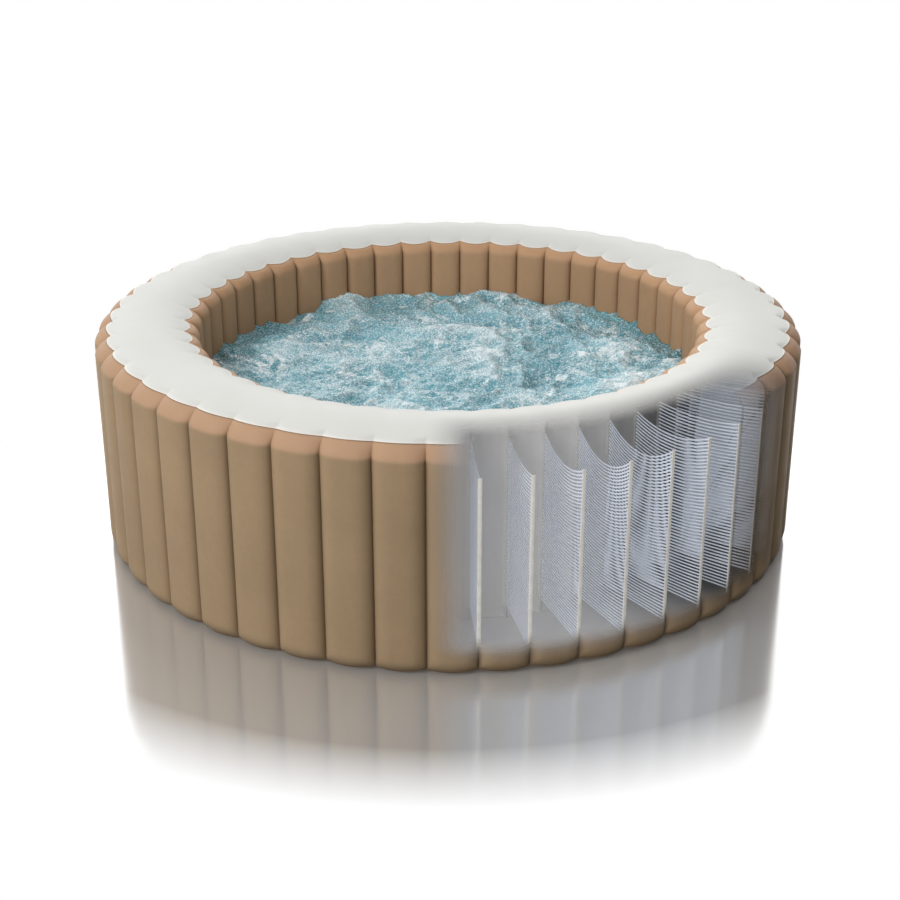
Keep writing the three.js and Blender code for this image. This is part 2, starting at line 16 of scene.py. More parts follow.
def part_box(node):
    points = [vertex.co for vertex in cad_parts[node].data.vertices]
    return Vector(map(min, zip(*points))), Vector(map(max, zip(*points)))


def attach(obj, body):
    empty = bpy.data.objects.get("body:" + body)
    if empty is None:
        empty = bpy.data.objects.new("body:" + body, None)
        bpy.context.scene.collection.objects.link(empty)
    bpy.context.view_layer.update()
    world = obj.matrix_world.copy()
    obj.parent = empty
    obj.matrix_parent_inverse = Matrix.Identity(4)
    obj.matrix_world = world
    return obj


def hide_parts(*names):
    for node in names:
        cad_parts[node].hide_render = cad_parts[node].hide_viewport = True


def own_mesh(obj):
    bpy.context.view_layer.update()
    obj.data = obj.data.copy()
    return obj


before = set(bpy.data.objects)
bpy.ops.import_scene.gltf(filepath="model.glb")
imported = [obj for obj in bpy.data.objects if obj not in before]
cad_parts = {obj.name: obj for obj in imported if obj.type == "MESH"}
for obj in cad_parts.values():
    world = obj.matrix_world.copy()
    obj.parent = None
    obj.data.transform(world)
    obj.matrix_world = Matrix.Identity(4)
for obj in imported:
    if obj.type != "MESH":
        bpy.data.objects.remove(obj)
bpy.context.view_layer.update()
ROOT = "tub"

# ---- Driving sizes
FLUTES = 48
HALF_FLUTE = 180 / FLUTES  # degrees
SKIN = 0.0012

OUTER_CREST_R = 1.080
OUTER_SEAM_R = 1.056
INNER_SEAM_R = 0.788
INNER_CREST_R = 0.766
SHOULDER_Z = 0.610
INNER_SHOULDER_Z = (SHOULDER_Z, SHOULDER_Z - 0.004)  # at a seam and at the middle of a flute
SHOULDER_POWER = 1.45
WELD_Z = 0.646
WELD_RISE = 0.005  # the outer weld's rise and the inner weld's drop at the middle of a flute
OUTER_WELD = (1.027, 1.042)  # radius at a seam and at the middle of a flute
INNER_WELD = (0.816, 0.795)
FOOT_EDGE = (1.046, 1.064)  # where the foot meets the base sheet, at a seam and mid-flute
FOOT_Z = (0.014, 0.040)  # and where it turns upright
INNER_FOOT = (0.006, 0.012)  # how far the inner wall's foot runs out, at a seam and mid-flute
INNER_FOOT_Z = 0.030
FOOT_STEPS, INNER_FOOT_STEPS, SHOULDER_STEPS = 9, 6, 14  # rows of a skin round each bend
UNDER_WALL = 0.0003  # clear space between a wall's foot and the base sheet
LAP = 0.002  # how far the top panel laps over each weld
BASE_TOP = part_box("base_sheet")[1].z
CROWN_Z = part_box("top_panel")[1].z
PANEL_LIFT = 0.0018  # from the walls' edges up to the top of the panel that laps over them
PANEL_ROWS = 61
PANEL_POWER = 1.9
PANEL_PULL = 0.013  # how far in from its outer weld the panel is drawn down
PUFF = 0.0018
PUFF_REACH = 0.014

WEB_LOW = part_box("tension_web_01")[0].z
WEB_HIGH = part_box("tension_web_01")[1].z
THREADS = 50
CORD = (0.0006, 0.0024)  # half the width and half the height of a flattened cord
OUTER_STRIP = (0.0026, 0.0110)  # thickness and width of a web's weld strips
INNER_STRIP = (0.0020, 0.0200)
STRIP_GAP = 0.0006
TAUT_SAG = 0.005  # how far the topmost cord of a web hangs
LEAN_SAG = 0.052  # and how much further where the wall is leaned on
LEAN_AZIMUTH, LEAN_REACH = 29, 15

WATER_Z = 0.452
WATER_LOW = 0.34
WATER_RINGS, WATER_COLUMNS = 150, 18  # columns to each flute

# The stretch of wall that shows its inside, in degrees of azimuth.
WINDOW_IN = (-4.5, 3.0)
WINDOW_OUT = (44.0, 68.0)
WINDOW_LOW = (0.024, 0.108)  # the skin turns clear between these heights
WINDOW_TOP = (0.87, 1.02)  # the top panel turns clear between these radii
# Painted light in the air chamber: its backing glows and is painted darker by azimuth.
PAINTED_DAYLIGHT = (22, 56)  # daylight in the chamber fades between these azimuths
DIM = 0.15  # and this share of it is left beyond them

# A wall is flat round a port out to the first radius, and free of it past the second.
OUTER_FLAT = (0.041, 0.060)
INNER_FLAT = (0.030, 0.042)
OUTER_HOLES = {
    "water_inlet": 0.0225, "water_outlet": 0.0225, "air": 0.0185, "drain": 0.0155, "inflation": 0.0180,
}
INNER_HOLES = {"water_inlet": 0.0225, "water_outlet": 0.0225, "air": 0.0165, "drain": 0.0155}

POLISH_FADE = (1.42, 1.66)  # the floor's polish ends between these distances from the axis
MIRROR_SHARE = 0.42
LIGHTS = (  # name, place, target, size, power
    ("key", (-4.2, -2.6, 4.4), (0, 0, 0.4), 1.0, 102),
    ("front", (-2.0, -6.0, 2.0), (0, 0, 0.4), 2.5, 78),
    ("top", (2.2, -0.4, 5.0), (0, 0, 0.5), 3.0, 60),
    ("glint", (-1.5, -5.0, 3.2), (-0.4, 0, 0.4), 0.25, 12),
)
WORLD_LIGHT = {  # axis: from here to here, the light goes from this to this
    "X": (-0.9, 0.9, 0.62, 0.04),
    "Y": (0.55, 0.85, 0.0, 2.0),
    "Z": (-0.4, 0.05, 0.5, 1.0),
}

CAMERA_AZIMUTH = -0.66
CAMERA_DISTANCE = 4.760
CAMERA_HEIGHT = 2.247
CAMERA_PITCH = 23.43  # degrees below the horizon
CAMERA_TURN = -0.075
CAMERA_LENS = 64.4


# ---- Mesh helpers
def smoothstep(low, high, x):
    """0 below low, 1 above high, and smooth between them."""
    t = np.clip((np.asarray(x, float) - low) / (high - low), 0, 1)
    return t * t * (3 - 2 * t)


def between(ends, share):
    """From the first end to the second as share goes from 0 to 1."""
    return ends[0] + (ends[1] - ends[0]) * share


def polar(radius, azimuth, z):
    """Points from their distance from the axis, azimuth and height."""
    a = np.radians(azimuth)
    return np.stack(np.broadcast_arrays(radius * np.sin(a), -radius * np.cos(a), z), -1)


def linked(name, data):
    """A new object in the scene, from its mesh, light or camera."""
    piece = bpy.data.objects.new(name, data)
    bpy.context.scene.collection.objects.link(piece)
    return piece


def new_object(name, vertices, faces, materials=(), sharp_angle=40, face_materials=None):
    mesh = bpy.data.meshes.new(name)
    mesh.from_pydata(np.asarray(vertices).reshape(-1, 3).tolist(), [], [list(f) for f in faces])
    mesh.update()
    mesh.shade_smooth()
    if sharp_angle:
        mesh.set_sharp_from_angle(angle=math.radians(sharp_angle))
    for material in materials:
        mesh.materials.append(material)
    if face_materials is not None:
        mesh.polygons.foreach_set("material_index", np.asarray(face_materials, np.int32))
    return linked(name, mesh)


def add_attribute(piece, name, values):
    attribute = piece.data.attributes.new(name, "FLOAT", "POINT")
    attribute.data.foreach_set("value", np.asarray(values, np.float32).ravel())


def grid_faces(rows, columns, close_rows=False, close_columns=False, start=0, flip=False):
    """Quads of a grid whose vertices run row by row."""
    r = np.arange(rows if close_rows else rows - 1)
    c = np.arange(columns if close_columns else columns - 1)
    rr, cc = np.meshgrid(r, c, indexing="ij")
    r2, c2 = (rr + 1) % rows, (cc + 1) % columns
    quads = np.stack([rr * columns + cc, rr * columns + c2, r2 * columns + c2, r2 * columns + cc], -1)
    quads = quads.reshape(-1, 4) + start
    return quads[:, ::-1] if flip else quads


# ---- Fluted skins
COLUMNS = 22  # round each flute


def round_flutes(u):
    """The azimuths of the places u of every flute, which is -1 and 1 at its seams."""
    return (np.arange(FLUTES)[:, None] * 2 * HALF_FLUTE + u * HALF_FLUTE).ravel()


def flute_columns():
    """Azimuth and place u in the flute, -1 and 1 at its seams, of every column of a skin."""
    # Columns crowd towards the seams, where the skin turns sharply.
    v = np.linspace(-1, 1, COLUMNS + 1)[:-1]
    u = np.sin(v * math.pi / 2) * 0.55 + v * 0.45
    return round_flutes(u), np.tile(u, FLUTES)


def wall_fullness(u):
    """How full the flute is at u along the upright wall: 1 at the crest, 0 at a seam."""
    return (1 - np.abs(u) ** 3.4) ** 0.7


def weld_fullness(u):
    """The same along a weld, where the flute is a shallower curve."""
    return 1 - np.abs(u) ** 2.1


def arc(start, end, steps, upright_first, power=2.0):
    """A quarter of a superellipse of (r, z) points: power 2 is round, and nearer 1 is a chamfer.

    upright_first says that it leaves start along z.
    """
    t = np.linspace(0, math.pi / 2, steps + 1)
    s, c = np.sin(t) ** (2 / power), 1 - np.cos(t) ** (2 / power)
    along_r, along_z = (c, s) if upright_first else (s, c)
    (r0, z0), (r1, z1) = start, end
    return np.stack([r0 + (r1 - r0) * along_r, z0 + (z1 - z0) * along_z], -1)


def skin_normals(points):
    """Unit normals of a (rows, columns, 3) surface that closes round its columns."""
    down = np.gradient(points, axis=0)
    across = np.roll(points, -1, 1) - np.roll(points, 1, 1)
    n = np.cross(across, down)
    return n / np.maximum(np.linalg.norm(n, axis=-1, keepdims=True), 1e-12)


def closed_skin(name, points, azimuth, materials, groove, see, shoulder=0.0, rim_material=0, holes=None):
    """A closed shell from its shown surface: a second surface lies SKIN behind it.

    rim_material is the index of the material on its narrow edges, and holes marks the cells left out
    of the grid. The materials read the painted shade and highlight, the see-through share, the painted
    light on the flutes' shoulders and the painted daylight at each point.
    """
    rows, columns = points.shape[:2]
    back = points - skin_normals(points) * SKIN
    front_faces = grid_faces(rows, columns, close_columns=True)
    back_faces = grid_faces(rows, columns, close_columns=True, start=rows * columns, flip=True)
    rims = []
    for row, flip in ((0, True), (rows - 1, False)):
        a = row * columns + np.arange(columns)
        b = np.roll(a, -1)
        rim = np.stack([a, b, b + rows * columns, a + rows * columns], -1)
        rims.append(rim[:, ::-1] if flip else rim)
    if holes is not None:
        left_out = front_faces[holes.ravel()].tolist()
        edges = {(face[k - 1], face[k]) for face in left_out for k in range(4)}
        ends = np.array([(a, b) for a, b in sorted(edges) if (b, a) not in edges])
        rims.append(np.concatenate([ends, ends[:, ::-1] + rows * columns], 1))
        front_faces = front_faces[~holes.ravel()]
        back_faces = back_faces[~holes.ravel()]
    rims = np.concatenate(rims)
    faces = np.concatenate([front_faces, back_faces, rims])
    index = np.repeat([0.0, 1.0, float(rim_material)], [len(front_faces), len(back_faces), len(rims)])
    vertices = np.concatenate([points.reshape(-1, 3), back.reshape(-1, 3)])
    used, faces = np.unique(faces, return_inverse=True)
    faces = faces.reshape(-1, 4)
    piece = new_object(name, vertices[used], faces, materials, sharp_angle=60, face_materials=index)
    attributes = {"groove": groove, "see": see, "shoulder": shoulder, "glow": painted_glow_share(azimuth)}
    for key, values in attributes.items():
        values = np.broadcast_to(values, (rows, columns)).ravel()
        add_attribute(piece, key, np.concatenate([values, values])[used])
    return piece


def cell_means(values):
    """The mean over each cell's four corners, of a grid that closes round its columns."""
    sides = (values + np.roll(values, -1, 1)) / 2
    return (sides[:-1] + sides[1:]) / 2


def with_ports(points, face, patch, ports):
    """The skin pressed flat round its ports, and which of its cells their holes take.

    The flats lie at the distance face from the tub's axis. They fade out between the two radii of
    patch, and ports gives the radius of each port's hole.
    """
    points = points.copy()
    holes = np.zeros((points.shape[0] - 1, points.shape[1]), bool)
    for port, radius in ports.items():
        azimuth, height = PORTS[port]
        out = polar(1.0, azimuth, 0.0)
        side = polar(1.0, azimuth + 90, 0.0)
        along, across, up = points @ out, points @ side, points[..., 2] - height
        from_axis = np.where(along > 0, np.hypot(across, up), np.inf)
        points += ((face - along) * (1 - smoothstep(*patch, from_axis)))[..., None] * out
        hole = (np.hypot(cell_means(across), cell_means(up)) < radius) & (cell_means(along) > 0)
        holes |= hole
        # The corners on the hole's edge move to its true circle.
        around = np.pad(hole, ((1, 1), (0, 0)))
        touching = around | np.roll(around, 1, 1)
        inside = around & np.roll(around, 1, 1)
        edge = (touching[:-1] | touching[1:]) & ~(inside[:-1] & inside[1:])
        stretch = np.where(edge, radius / np.maximum(from_axis, 1e-9) - 1, 0)
        points += (across * stretch)[..., None] * side + (up * stretch)[..., None] * [0, 0, 1]
    return points, holes


def blended(seam, crest, fullness):
    """(rows, columns) radius and height between a seam outline and a crest outline."""
    f = fullness[..., None]
    both = seam[:, None, :] * (1 - f) + crest[:, None, :] * f
    return both[..., 0], both[..., 1]


def pucker(azimuth, height, seed):
    """Small wrinkles that run down from a weld, as a height offset between -1 and 1."""
    values = [
        noise.noise(Vector((a * 1.6, h * 4, seed))) for a, h in zip(np.ravel(azimuth), np.ravel(height))
    ]
    return np.reshape(values, np.shape(azimuth))


def see_through(azimuth, z):
    """How far the wall has turned clear, 0 to 1, for the stretch that shows its inside."""
    a = (np.asarray(azimuth) + 180) % 360 - 180
    across = smoothstep(*WINDOW_IN, a) * (1 - smoothstep(*WINDOW_OUT, a))
    return across * smoothstep(*WINDOW_LOW, z)


def painted_glow_share(azimuth):
    """How much painted daylight the chamber's backing gets: most at the front, and little round to the
    right.
    """
    a = (np.asarray(azimuth) + 180) % 360 - 180
    return DIM + (1 - DIM) * (1 - smoothstep(*PAINTED_DAYLIGHT, np.abs(a)))


def upright_levels(low, high):
    """Heights up the upright part of a wall, closer together where it has ports."""
    step = 0.0085
    levels = np.concatenate([
        np.arange(0.05, 0.30, step), np.linspace(0.32, 0.50, 8), np.arange(0.51, high, step),
    ])
    return levels[(levels > low + 0.003) & (levels < high - 0.003)]


def upright(radius, levels):
    """The straight part of a wall's outline."""
    return np.stack([np.full(len(levels), radius), levels], -1)


def fluted(azimuth, u, outlines, weld, outward, seed):
    """A wall's points and heights. Its outlines are at a seam and at the middle of a flute.

    weld is 1 in the rows that a weld shapes, and 0 in the rows of a free flute.
    """
    fullness = wall_fullness(u) * (1 - weld) + weld_fullness(u) * weld
    r, z = blended(*outlines, fullness)
    r = r + outward * wrinkle_depth(azimuth, u, z, seed)
    return polar(r, azimuth, z), z


def outer_wall():
    azimuth, u = flute_columns()
    low = BASE_TOP + UNDER_WALL
    levels = upright_levels(FOOT_Z[1], SHOULDER_Z)
    outlines = [
        np.concatenate([
            arc((foot_r, low), (r, foot_z), FOOT_STEPS, False),
            upright(r, levels),
            arc((r, SHOULDER_Z), (weld_r, weld_z), SHOULDER_STEPS, True, SHOULDER_POWER),
        ])
        for r, foot_r, foot_z, weld_r, weld_z in zip(
            (OUTER_SEAM_R, OUTER_CREST_R), FOOT_EDGE, FOOT_Z, OUTER_WELD, (WELD_Z, WELD_Z + WELD_RISE)
        )
    ]
    row = np.arange(len(outlines[0]))[:, None]
    from_top = smoothstep(len(row) - 1 - SHOULDER_STEPS, len(row) - 1, row)
    weld = np.maximum(from_top, 1 - smoothstep(0, FOOT_STEPS, row))
    points, z = fluted(azimuth, u, outlines, weld, 1, seed=3.0)
    # Painted light: the flutes' shoulders get a paler, warmer colour.
    shoulder = smoothstep(SHOULDER_Z - 0.004, SHOULDER_Z + 0.010, z)
    # Painted shade: the wall is painted darker in its seams (less so on the flutes' shoulders), in a thin
    # line just under the top panel's lapped edge, and towards its foot.
    from_weld = np.linalg.norm(points - points[-1:], axis=-1)
    lip_shade = 0.9 * np.exp(-np.maximum(from_weld - LAP, 0) / 0.0016)
    foot = 0.9 * (1 - smoothstep(0.0, 0.05, z)) ** 1.5
    groove = np.abs(u) ** 12 * (1 - 0.85 * shoulder)
    groove = np.maximum(np.maximum(groove, lip_shade), foot)
    points, holes = with_ports(points, OUTER_FACE * MM, OUTER_FLAT, OUTER_HOLES)
    see = see_through(azimuth, z)
    materials = [TAN_OUT, CHAMBER]
    return closed_skin("outer_wall_skin", points, azimuth, materials, groove, see, shoulder, 0, holes)


def wrinkle_depth(azimuth, u, z, seed):
    """Fine puckers that the welds pull into the wall at its top and bottom, and that end at its seams."""
    z = np.broadcast_to(z, (z.shape[0], len(azimuth)))
    by_top = np.exp(-np.abs(z - (SHOULDER_Z + 0.02)) / 0.05)
    by_foot = np.exp(-np.abs(z - 0.03) / 0.05)
    near = (by_top + by_foot) * (1 - np.abs(u) ** 6)
    a = np.broadcast_to(azimuth, z.shape)
    return near * pucker(a, z, seed) * 0.0011


def inner_wall():
    azimuth, u = flute_columns()
    low = BASE_TOP + UNDER_WALL
    levels = upright_levels(INNER_FOOT_Z, INNER_SHOULDER_Z[1])[::-1]
    outlines = [
        np.concatenate([
            arc((weld_r, weld_z), (r, shoulder_z), SHOULDER_STEPS, False),
            upright(r, levels),
            arc((r, INNER_FOOT_Z), (r + foot, low), INNER_FOOT_STEPS, True),
        ])
        for r, foot, shoulder_z, weld_r, weld_z in zip(
            (INNER_SEAM_R, INNER_CREST_R), INNER_FOOT, INNER_SHOULDER_Z,
            INNER_WELD, (WELD_Z, WELD_Z - WELD_RISE),
        )
    ]
    weld = 1 - smoothstep(0, SHOULDER_STEPS, np.arange(len(outlines[0])))[:, None]
    points, z = fluted(azimuth, u, outlines, weld, -1, seed=9.0)
    # Painted light: the inner flutes' shoulders get a paler, warmer colour.
    shoulder = smoothstep(SHOULDER_Z + 0.002, SHOULDER_Z + 0.016, z)
    points, holes = with_ports(points, INNER_FACE * MM, INNER_FLAT, INNER_HOLES)
    # Painted shade in the inner wall's seams, fading out on the flutes' shoulders.
    groove = np.abs(u) ** 18 * (1 - 0.7 * shoulder)
    materials = [TAN_IN, CHAMBER]
    return closed_skin("inner_wall_skin", points, azimuth, materials, groove, 0.0, shoulder, 1, holes)


def panel_height(r):
    """The top panel's own smooth section, before its welds pucker it."""
    low_r, high_r = INNER_WELD[1] - LAP, OUTER_WELD[1] + LAP
    low_z, high_z = WELD_Z - WELD_RISE + PANEL_LIFT, WELD_Z + WELD_RISE + PANEL_LIFT
    share = np.clip((r - low_r) / (high_r - low_r), 0, 1)
    edge = low_z + (high_z - low_z) * share
    return edge + (CROWN_Z - edge) * (1 - np.abs(2 * share - 1) ** PANEL_POWER)


def top_panel():
    azimuth, u = flute_columns()
    full = weld_fullness(u)
    outer = between(OUTER_WELD, full) + LAP
    inner = between(INNER_WELD, full) - LAP
    # Rows crowd towards both edges, where the panel is drawn to its welds.
    share = np.sin(np.linspace(1, -1, PANEL_ROWS) * math.pi / 2)[:, None]
    r = (outer + inner) / 2 + share * (outer - inner) / 2
    z = panel_height(r)
    for edge, side, reach in ((outer, 1, PANEL_PULL), (inner, -1, PUFF_REACH)):
        pull = WELD_Z + side * WELD_RISE * full + PANEL_LIFT - panel_height(edge)
        z = z + pull * np.exp(-((r - edge) / reach) ** 2)
    # Between two seams the panel puffs a little beside its inner weld.
    d = (r - inner) / PUFF_REACH
    z = z + PUFF * (full - 0.6) * d * np.exp(1 - d)
    a = np.broadcast_to(azimuth, r.shape)
    z = z + 0.0004 * pucker(a, r * 2, 5.0) * (1 - share**8)
    z = np.minimum(z, CROWN_Z)
    points = polar(r, azimuth, z)
    # Painted light along both lapped edges: a painted highlight, a brighter line, on the white lip, and
    # painted shade on the backing under it.
    near_edge = np.minimum(np.abs(r - outer), np.abs(r - inner))
    groove = 1.5 * np.exp(-near_edge / 0.0035)
    see = see_through(azimuth, 1.0) * smoothstep(*WINDOW_TOP, r)
    return closed_skin("top_panel_skin", points, azimuth, [WHITE, CHAMBER], groove, see)


def base_sheet():
    """The floor of the tub and of its air chamber, with its edge along the flutes."""
    azimuth, u = flute_columns()
    columns = len(azimuth)
    edge = between(FOOT_EDGE, weld_fullness(u)) + LAP
    reach = np.array([0.2, 0.4, 0.6, 0.7, 0.73, 0.8, 0.9, 0.97, 0.995, 0.999, 1.0])[:, None]
    drop = np.array([0, 0, 0, 0, 0, 0, 0, 0, 0, 0.0003, 0.0007])[:, None]
    top = polar(reach * edge, azimuth, BASE_TOP - drop)
    under = polar(reach[::-1] * edge, azimuth, 0.0)
    ring = np.concatenate([top, under])
    rows = len(ring)
    vertices = np.concatenate([ring.reshape(-1, 3), [[0, 0, BASE_TOP]], [[0, 0, 0]]])
    faces = grid_faces(rows, columns, close_columns=True, flip=True).tolist()
    in_chamber = (reach[:-1] > 0.72) & (reach[:-1] < 0.99)
    index = np.repeat(np.concatenate([in_chamber[:, 0], np.zeros(rows - len(reach))]), columns).tolist()
    last = (rows - 1) * columns
    for i in range(columns):
        j = (i + 1) % columns
        faces.append([rows * columns, i, j])
        faces.append([rows * columns + 1, last + j, last + i])
        index += [0, 0]
    piece = new_object("base_sheet_skin", vertices, faces, [BASE, CHAMBER], 50, index)
    for name in ("groove", "see", "shoulder"):
        add_attribute(piece, name, np.zeros(len(vertices)))
    glow = np.tile(painted_glow_share(azimuth), rows)
    add_attribute(piece, "glow", np.concatenate([glow, [0, 0]]))
    return piece


# ---- Webs
def tube_along(path, width, height, sides=6):
    """Vertices and faces of a closed bar along (n, 3) points, with its half width and half height."""
    path = np.asarray(path, float)
    n = len(path)
    along = np.gradient(path, axis=0)
    along /= np.linalg.norm(along, axis=1, keepdims=True)
    reference = np.array([0.0, 0.0, 1.0]) if abs(along[0][2]) < 0.9 else np.array([1.0, 0.0, 0.0])
    side = np.cross(along, reference)
    side /= np.linalg.norm(side, axis=1, keepdims=True)
    up = np.cross(side, along)
    angle = np.arange(sides) * 2 * math.pi / sides
    ring_side = side[:, None, :] * np.cos(angle)[None, :, None] * width
    ring_up = up[:, None, :] * np.sin(angle)[None, :, None] * height
    vertices = (path[:, None, :] + ring_side + ring_up).reshape(-1, 3)
    faces = grid_faces(n, sides, close_columns=True).tolist()
    faces += [list(range(sides)), list(range(n * sides - 1, (n - 1) * sides - 1, -1))]
    return vertices, faces


def joined(parts):
    """One list of vertices and faces from several, with each part's index as its material."""
    vertices, faces, index, start = [], [], [], 0
    for part_vertices, part_faces, material in parts:
        vertices.append(np.asarray(part_vertices).reshape(-1, 3))
        faces += [[i + start for i in f] for f in part_faces]
        index += [material] * len(part_faces)
        start += len(vertices[-1])
    return np.concatenate(vertices), faces, index


def rounded_strip(r_low, r_high, width, low, high, material):
    """An upright weld strip in the web's own plane: x across, y out from the tub's axis."""
    corner, middle = (r_high - r_low) / 2, (r_low + r_high) / 2
    turn = np.linspace(-math.pi / 2, math.pi / 2, 5)
    right = np.stack([width / 2 - corner + corner * np.cos(turn), middle + corner * np.sin(turn)], -1)
    outline = np.concatenate([right, right[::-1] * [-1, 1]])
    n = len(outline)
    levels = np.linspace(low, high, 12)
    vertices = [[x, y, z] for z in levels for x, y in outline]
    faces = grid_faces(len(levels), n, close_columns=True).tolist()
    faces.append(list(range(n))[::-1])
    faces.append([(len(levels) - 1) * n + i for i in range(n)])
    return vertices, faces, material


def top_sag(azimuth):
    """How far the topmost thread hangs at its middle, most where the wall is leaned on."""
    a = (azimuth + 180) % 360 - 180
    return TAUT_SAG + LEAN_SAG * math.exp(-(((a - LEAN_AZIMUTH) / LEAN_REACH) ** 2))


def web_mesh(azimuth):
    """A web in its own plane: two weld strips with THREADS threads strung between them."""
    outer = OUTER_SEAM_R - SKIN - STRIP_GAP
    inner = INNER_SEAM_R + SKIN + STRIP_GAP
    parts = [
        rounded_strip(outer - OUTER_STRIP[0], outer, OUTER_STRIP[1], WEB_LOW - 0.008, WEB_HIGH, 0),
        rounded_strip(inner, inner + INNER_STRIP[0], INNER_STRIP[1], WEB_LOW, WEB_HIGH, 2),
    ]
    steps = np.linspace(0, 1, 13)
    y = inner + 0.0015 + (outer - inner - 0.0035) * steps
    for i in range(THREADS):
        share = i / (THREADS - 1)
        level = WEB_LOW + 0.006 + (WEB_HIGH - WEB_LOW - 0.010) * share
        sag = top_sag(azimuth) * share**0.9
        drop = sag * 4 * steps * (1 - steps)
        path = np.stack([np.zeros_like(y), y, level - drop], -1)
        vertices, faces = tube_along(path, *CORD)
        parts.append((vertices, faces, 1))
    return joined(parts)


def make_webs():
    """A web at every seam. The taut ones share a mesh, and the leaned-on ones have their own."""
    taut = None
    for i in range(FLUTES):
        azimuth = (i + 0.5) * 2 * HALF_FLUTE
        name = f"fibre_web_{i + 1:02d}"
        leaned_on = top_sag(azimuth) > 1.1 * TAUT_SAG
        if leaned_on or taut is None:
            vertices, faces, index = web_mesh(azimuth if leaned_on else 180)
            web = new_object(name, vertices, faces, [STRIP, FIBRE, CLEAR_STRIP], 40, index)
            taut = taut if leaned_on else web.data
        else:
            web = linked(name, taut)
        web.matrix_world = Matrix.Rotation(math.radians(azimuth + 180), 4, "Z")
        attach(web, ROOT)
        if i % 2 == 0:
            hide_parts(f"tension_web_{i // 2 + 1:02d}")


# ---- Water
def water():
    """Churning water, the tub's contents, up to the inner wall's flutes."""
    u = np.linspace(-1, 1, WATER_COLUMNS + 1)[:-1]
    azimuth = round_flutes(u)
    full = np.tile(wall_fullness(u), FLUTES)
    wall = between((INNER_SEAM_R, INNER_CREST_R), full) - 0.0004
    share = np.linspace(0, 1, WATER_RINGS + 1)[1:, None] ** 0.8
    r = share * wall
    flat = polar(r, azimuth, 0.0)
    height = np.reshape([wave_height(x, y) for x, y, _ in flat.reshape(-1, 3)], r.shape)
    points = flat.copy()
    points[..., 2] = WATER_Z + height
    columns = len(azimuth)
    skirt = points[-1:].copy()
    skirt[..., 2] = WATER_LOW
    vertices = np.concatenate([points, skirt]).reshape(-1, 3)
    top = len(vertices)
    vertices = np.concatenate([vertices, [[0, 0, WATER_Z + wave_height(0, 0)], [0, 0, WATER_LOW]]])
    faces = grid_faces(WATER_RINGS + 1, columns, close_columns=True, flip=True).tolist()
    for i in range(columns):
        j = (i + 1) % columns
        faces.append([top, i, j])
        faces.append([top + 1, WATER_RINGS * columns + j, WATER_RINGS * columns + i])
    piece = new_object("water", vertices, faces, [WATER], sharp_angle=0)
    add_attribute(piece, "crest", np.concatenate([height.ravel(), np.zeros(columns + 2)]))
    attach(piece, ROOT)
    return piece


def wave_height(x, y):
    """The churned surface: piled heaps with sharp crests, and chop over them."""
    warp = Vector([noise.noise(Vector((x * 3, y * 3, layer))) for layer in (7.1, 2.3)] + [0])
    p = Vector((x, y, 0)) + warp * 0.06
    heap = noise.noise(p * 4.6) * 0.036
    ridge = (1 - abs(noise.noise(p * 9.0 + Vector((3, 1, 4)))) * 2.2) * 0.017
    chop = (1 - abs(noise.noise(p * 24 + Vector((1, 5, 2)))) * 2) * 0.006
    fine = noise.noise(p * 66) * 0.004 + noise.noise(p * 150) * 0.0025
    return heap + ridge + chop + fine


# ---- Materials
def srgb(r, g, b):
    """A linear colour from 0 to 255 display values."""
    def linear(c):
        c = c / 255
        return c / 12.92 if c <= 0.04045 else ((c + 0.055) / 1.055) ** 2.4
    return (linear(r), linear(g), linear(b), 1.0)


class Nodes:
    """A node tree, with short ways to add and join its nodes."""

    def __init__(self, tree):
        self.nodes = tree.nodes
        self.links = tree.links

    def put(self, sockets, *values):
        """Give each socket its value, or join it to the output that gives it one."""
        for socket, value in zip(sockets, values):
            if hasattr(value, "is_output"):
                self.links.new(value, socket)
            else:
                socket.default_value = value

    def set(self, node, **values):
        """Set inputs by name, with _ for each space."""
        self.put([node.inputs[key.replace("_", " ")] for key in values], *values.values())
        return node

    def add(self, kind, **values):
        """A new node: names in small letters are its properties, and the others its inputs."""
        node = self.nodes.new(kind)
        for key, value in values.items():
            if key.islower():
                setattr(node, key, value)
        return self.set(node, **{k: v for k, v in values.items() if not k.islower()})

    def math(self, operation, a, b=0.0, clamp=False):
        node = self.add("ShaderNodeMath", operation=operation, use_clamp=clamp)
        self.put(node.inputs[:2], a, b)
        return node.outputs[0]

    def mix(self, share, a, b, blend="MIX"):
        node = self.add("ShaderNodeMix", data_type="RGBA", blend_type=blend)
        self.put((node.inputs[0], node.inputs[6], node.inputs[7]), share, a, b)
        return node.outputs[2]

    def mix_shaders(self, share, a, b):
        node = self.add("ShaderNodeMixShader")
        self.put(node.inputs, share, a, b)
        return node.outputs[0]

    def ramp(self, value, low, high, to_low=0.0, to_high=1.0, **settings):
        node = self.add("ShaderNodeMapRange", **settings)
        self.set(node, Value=value, From_Min=low, From_Max=high, To_Min=to_low, To_Max=to_high)
        return node.outputs[0]

    def grey(self, value):
        return self.add("ShaderNodeCombineColor", Red=value, Green=value, Blue=value).outputs[0]


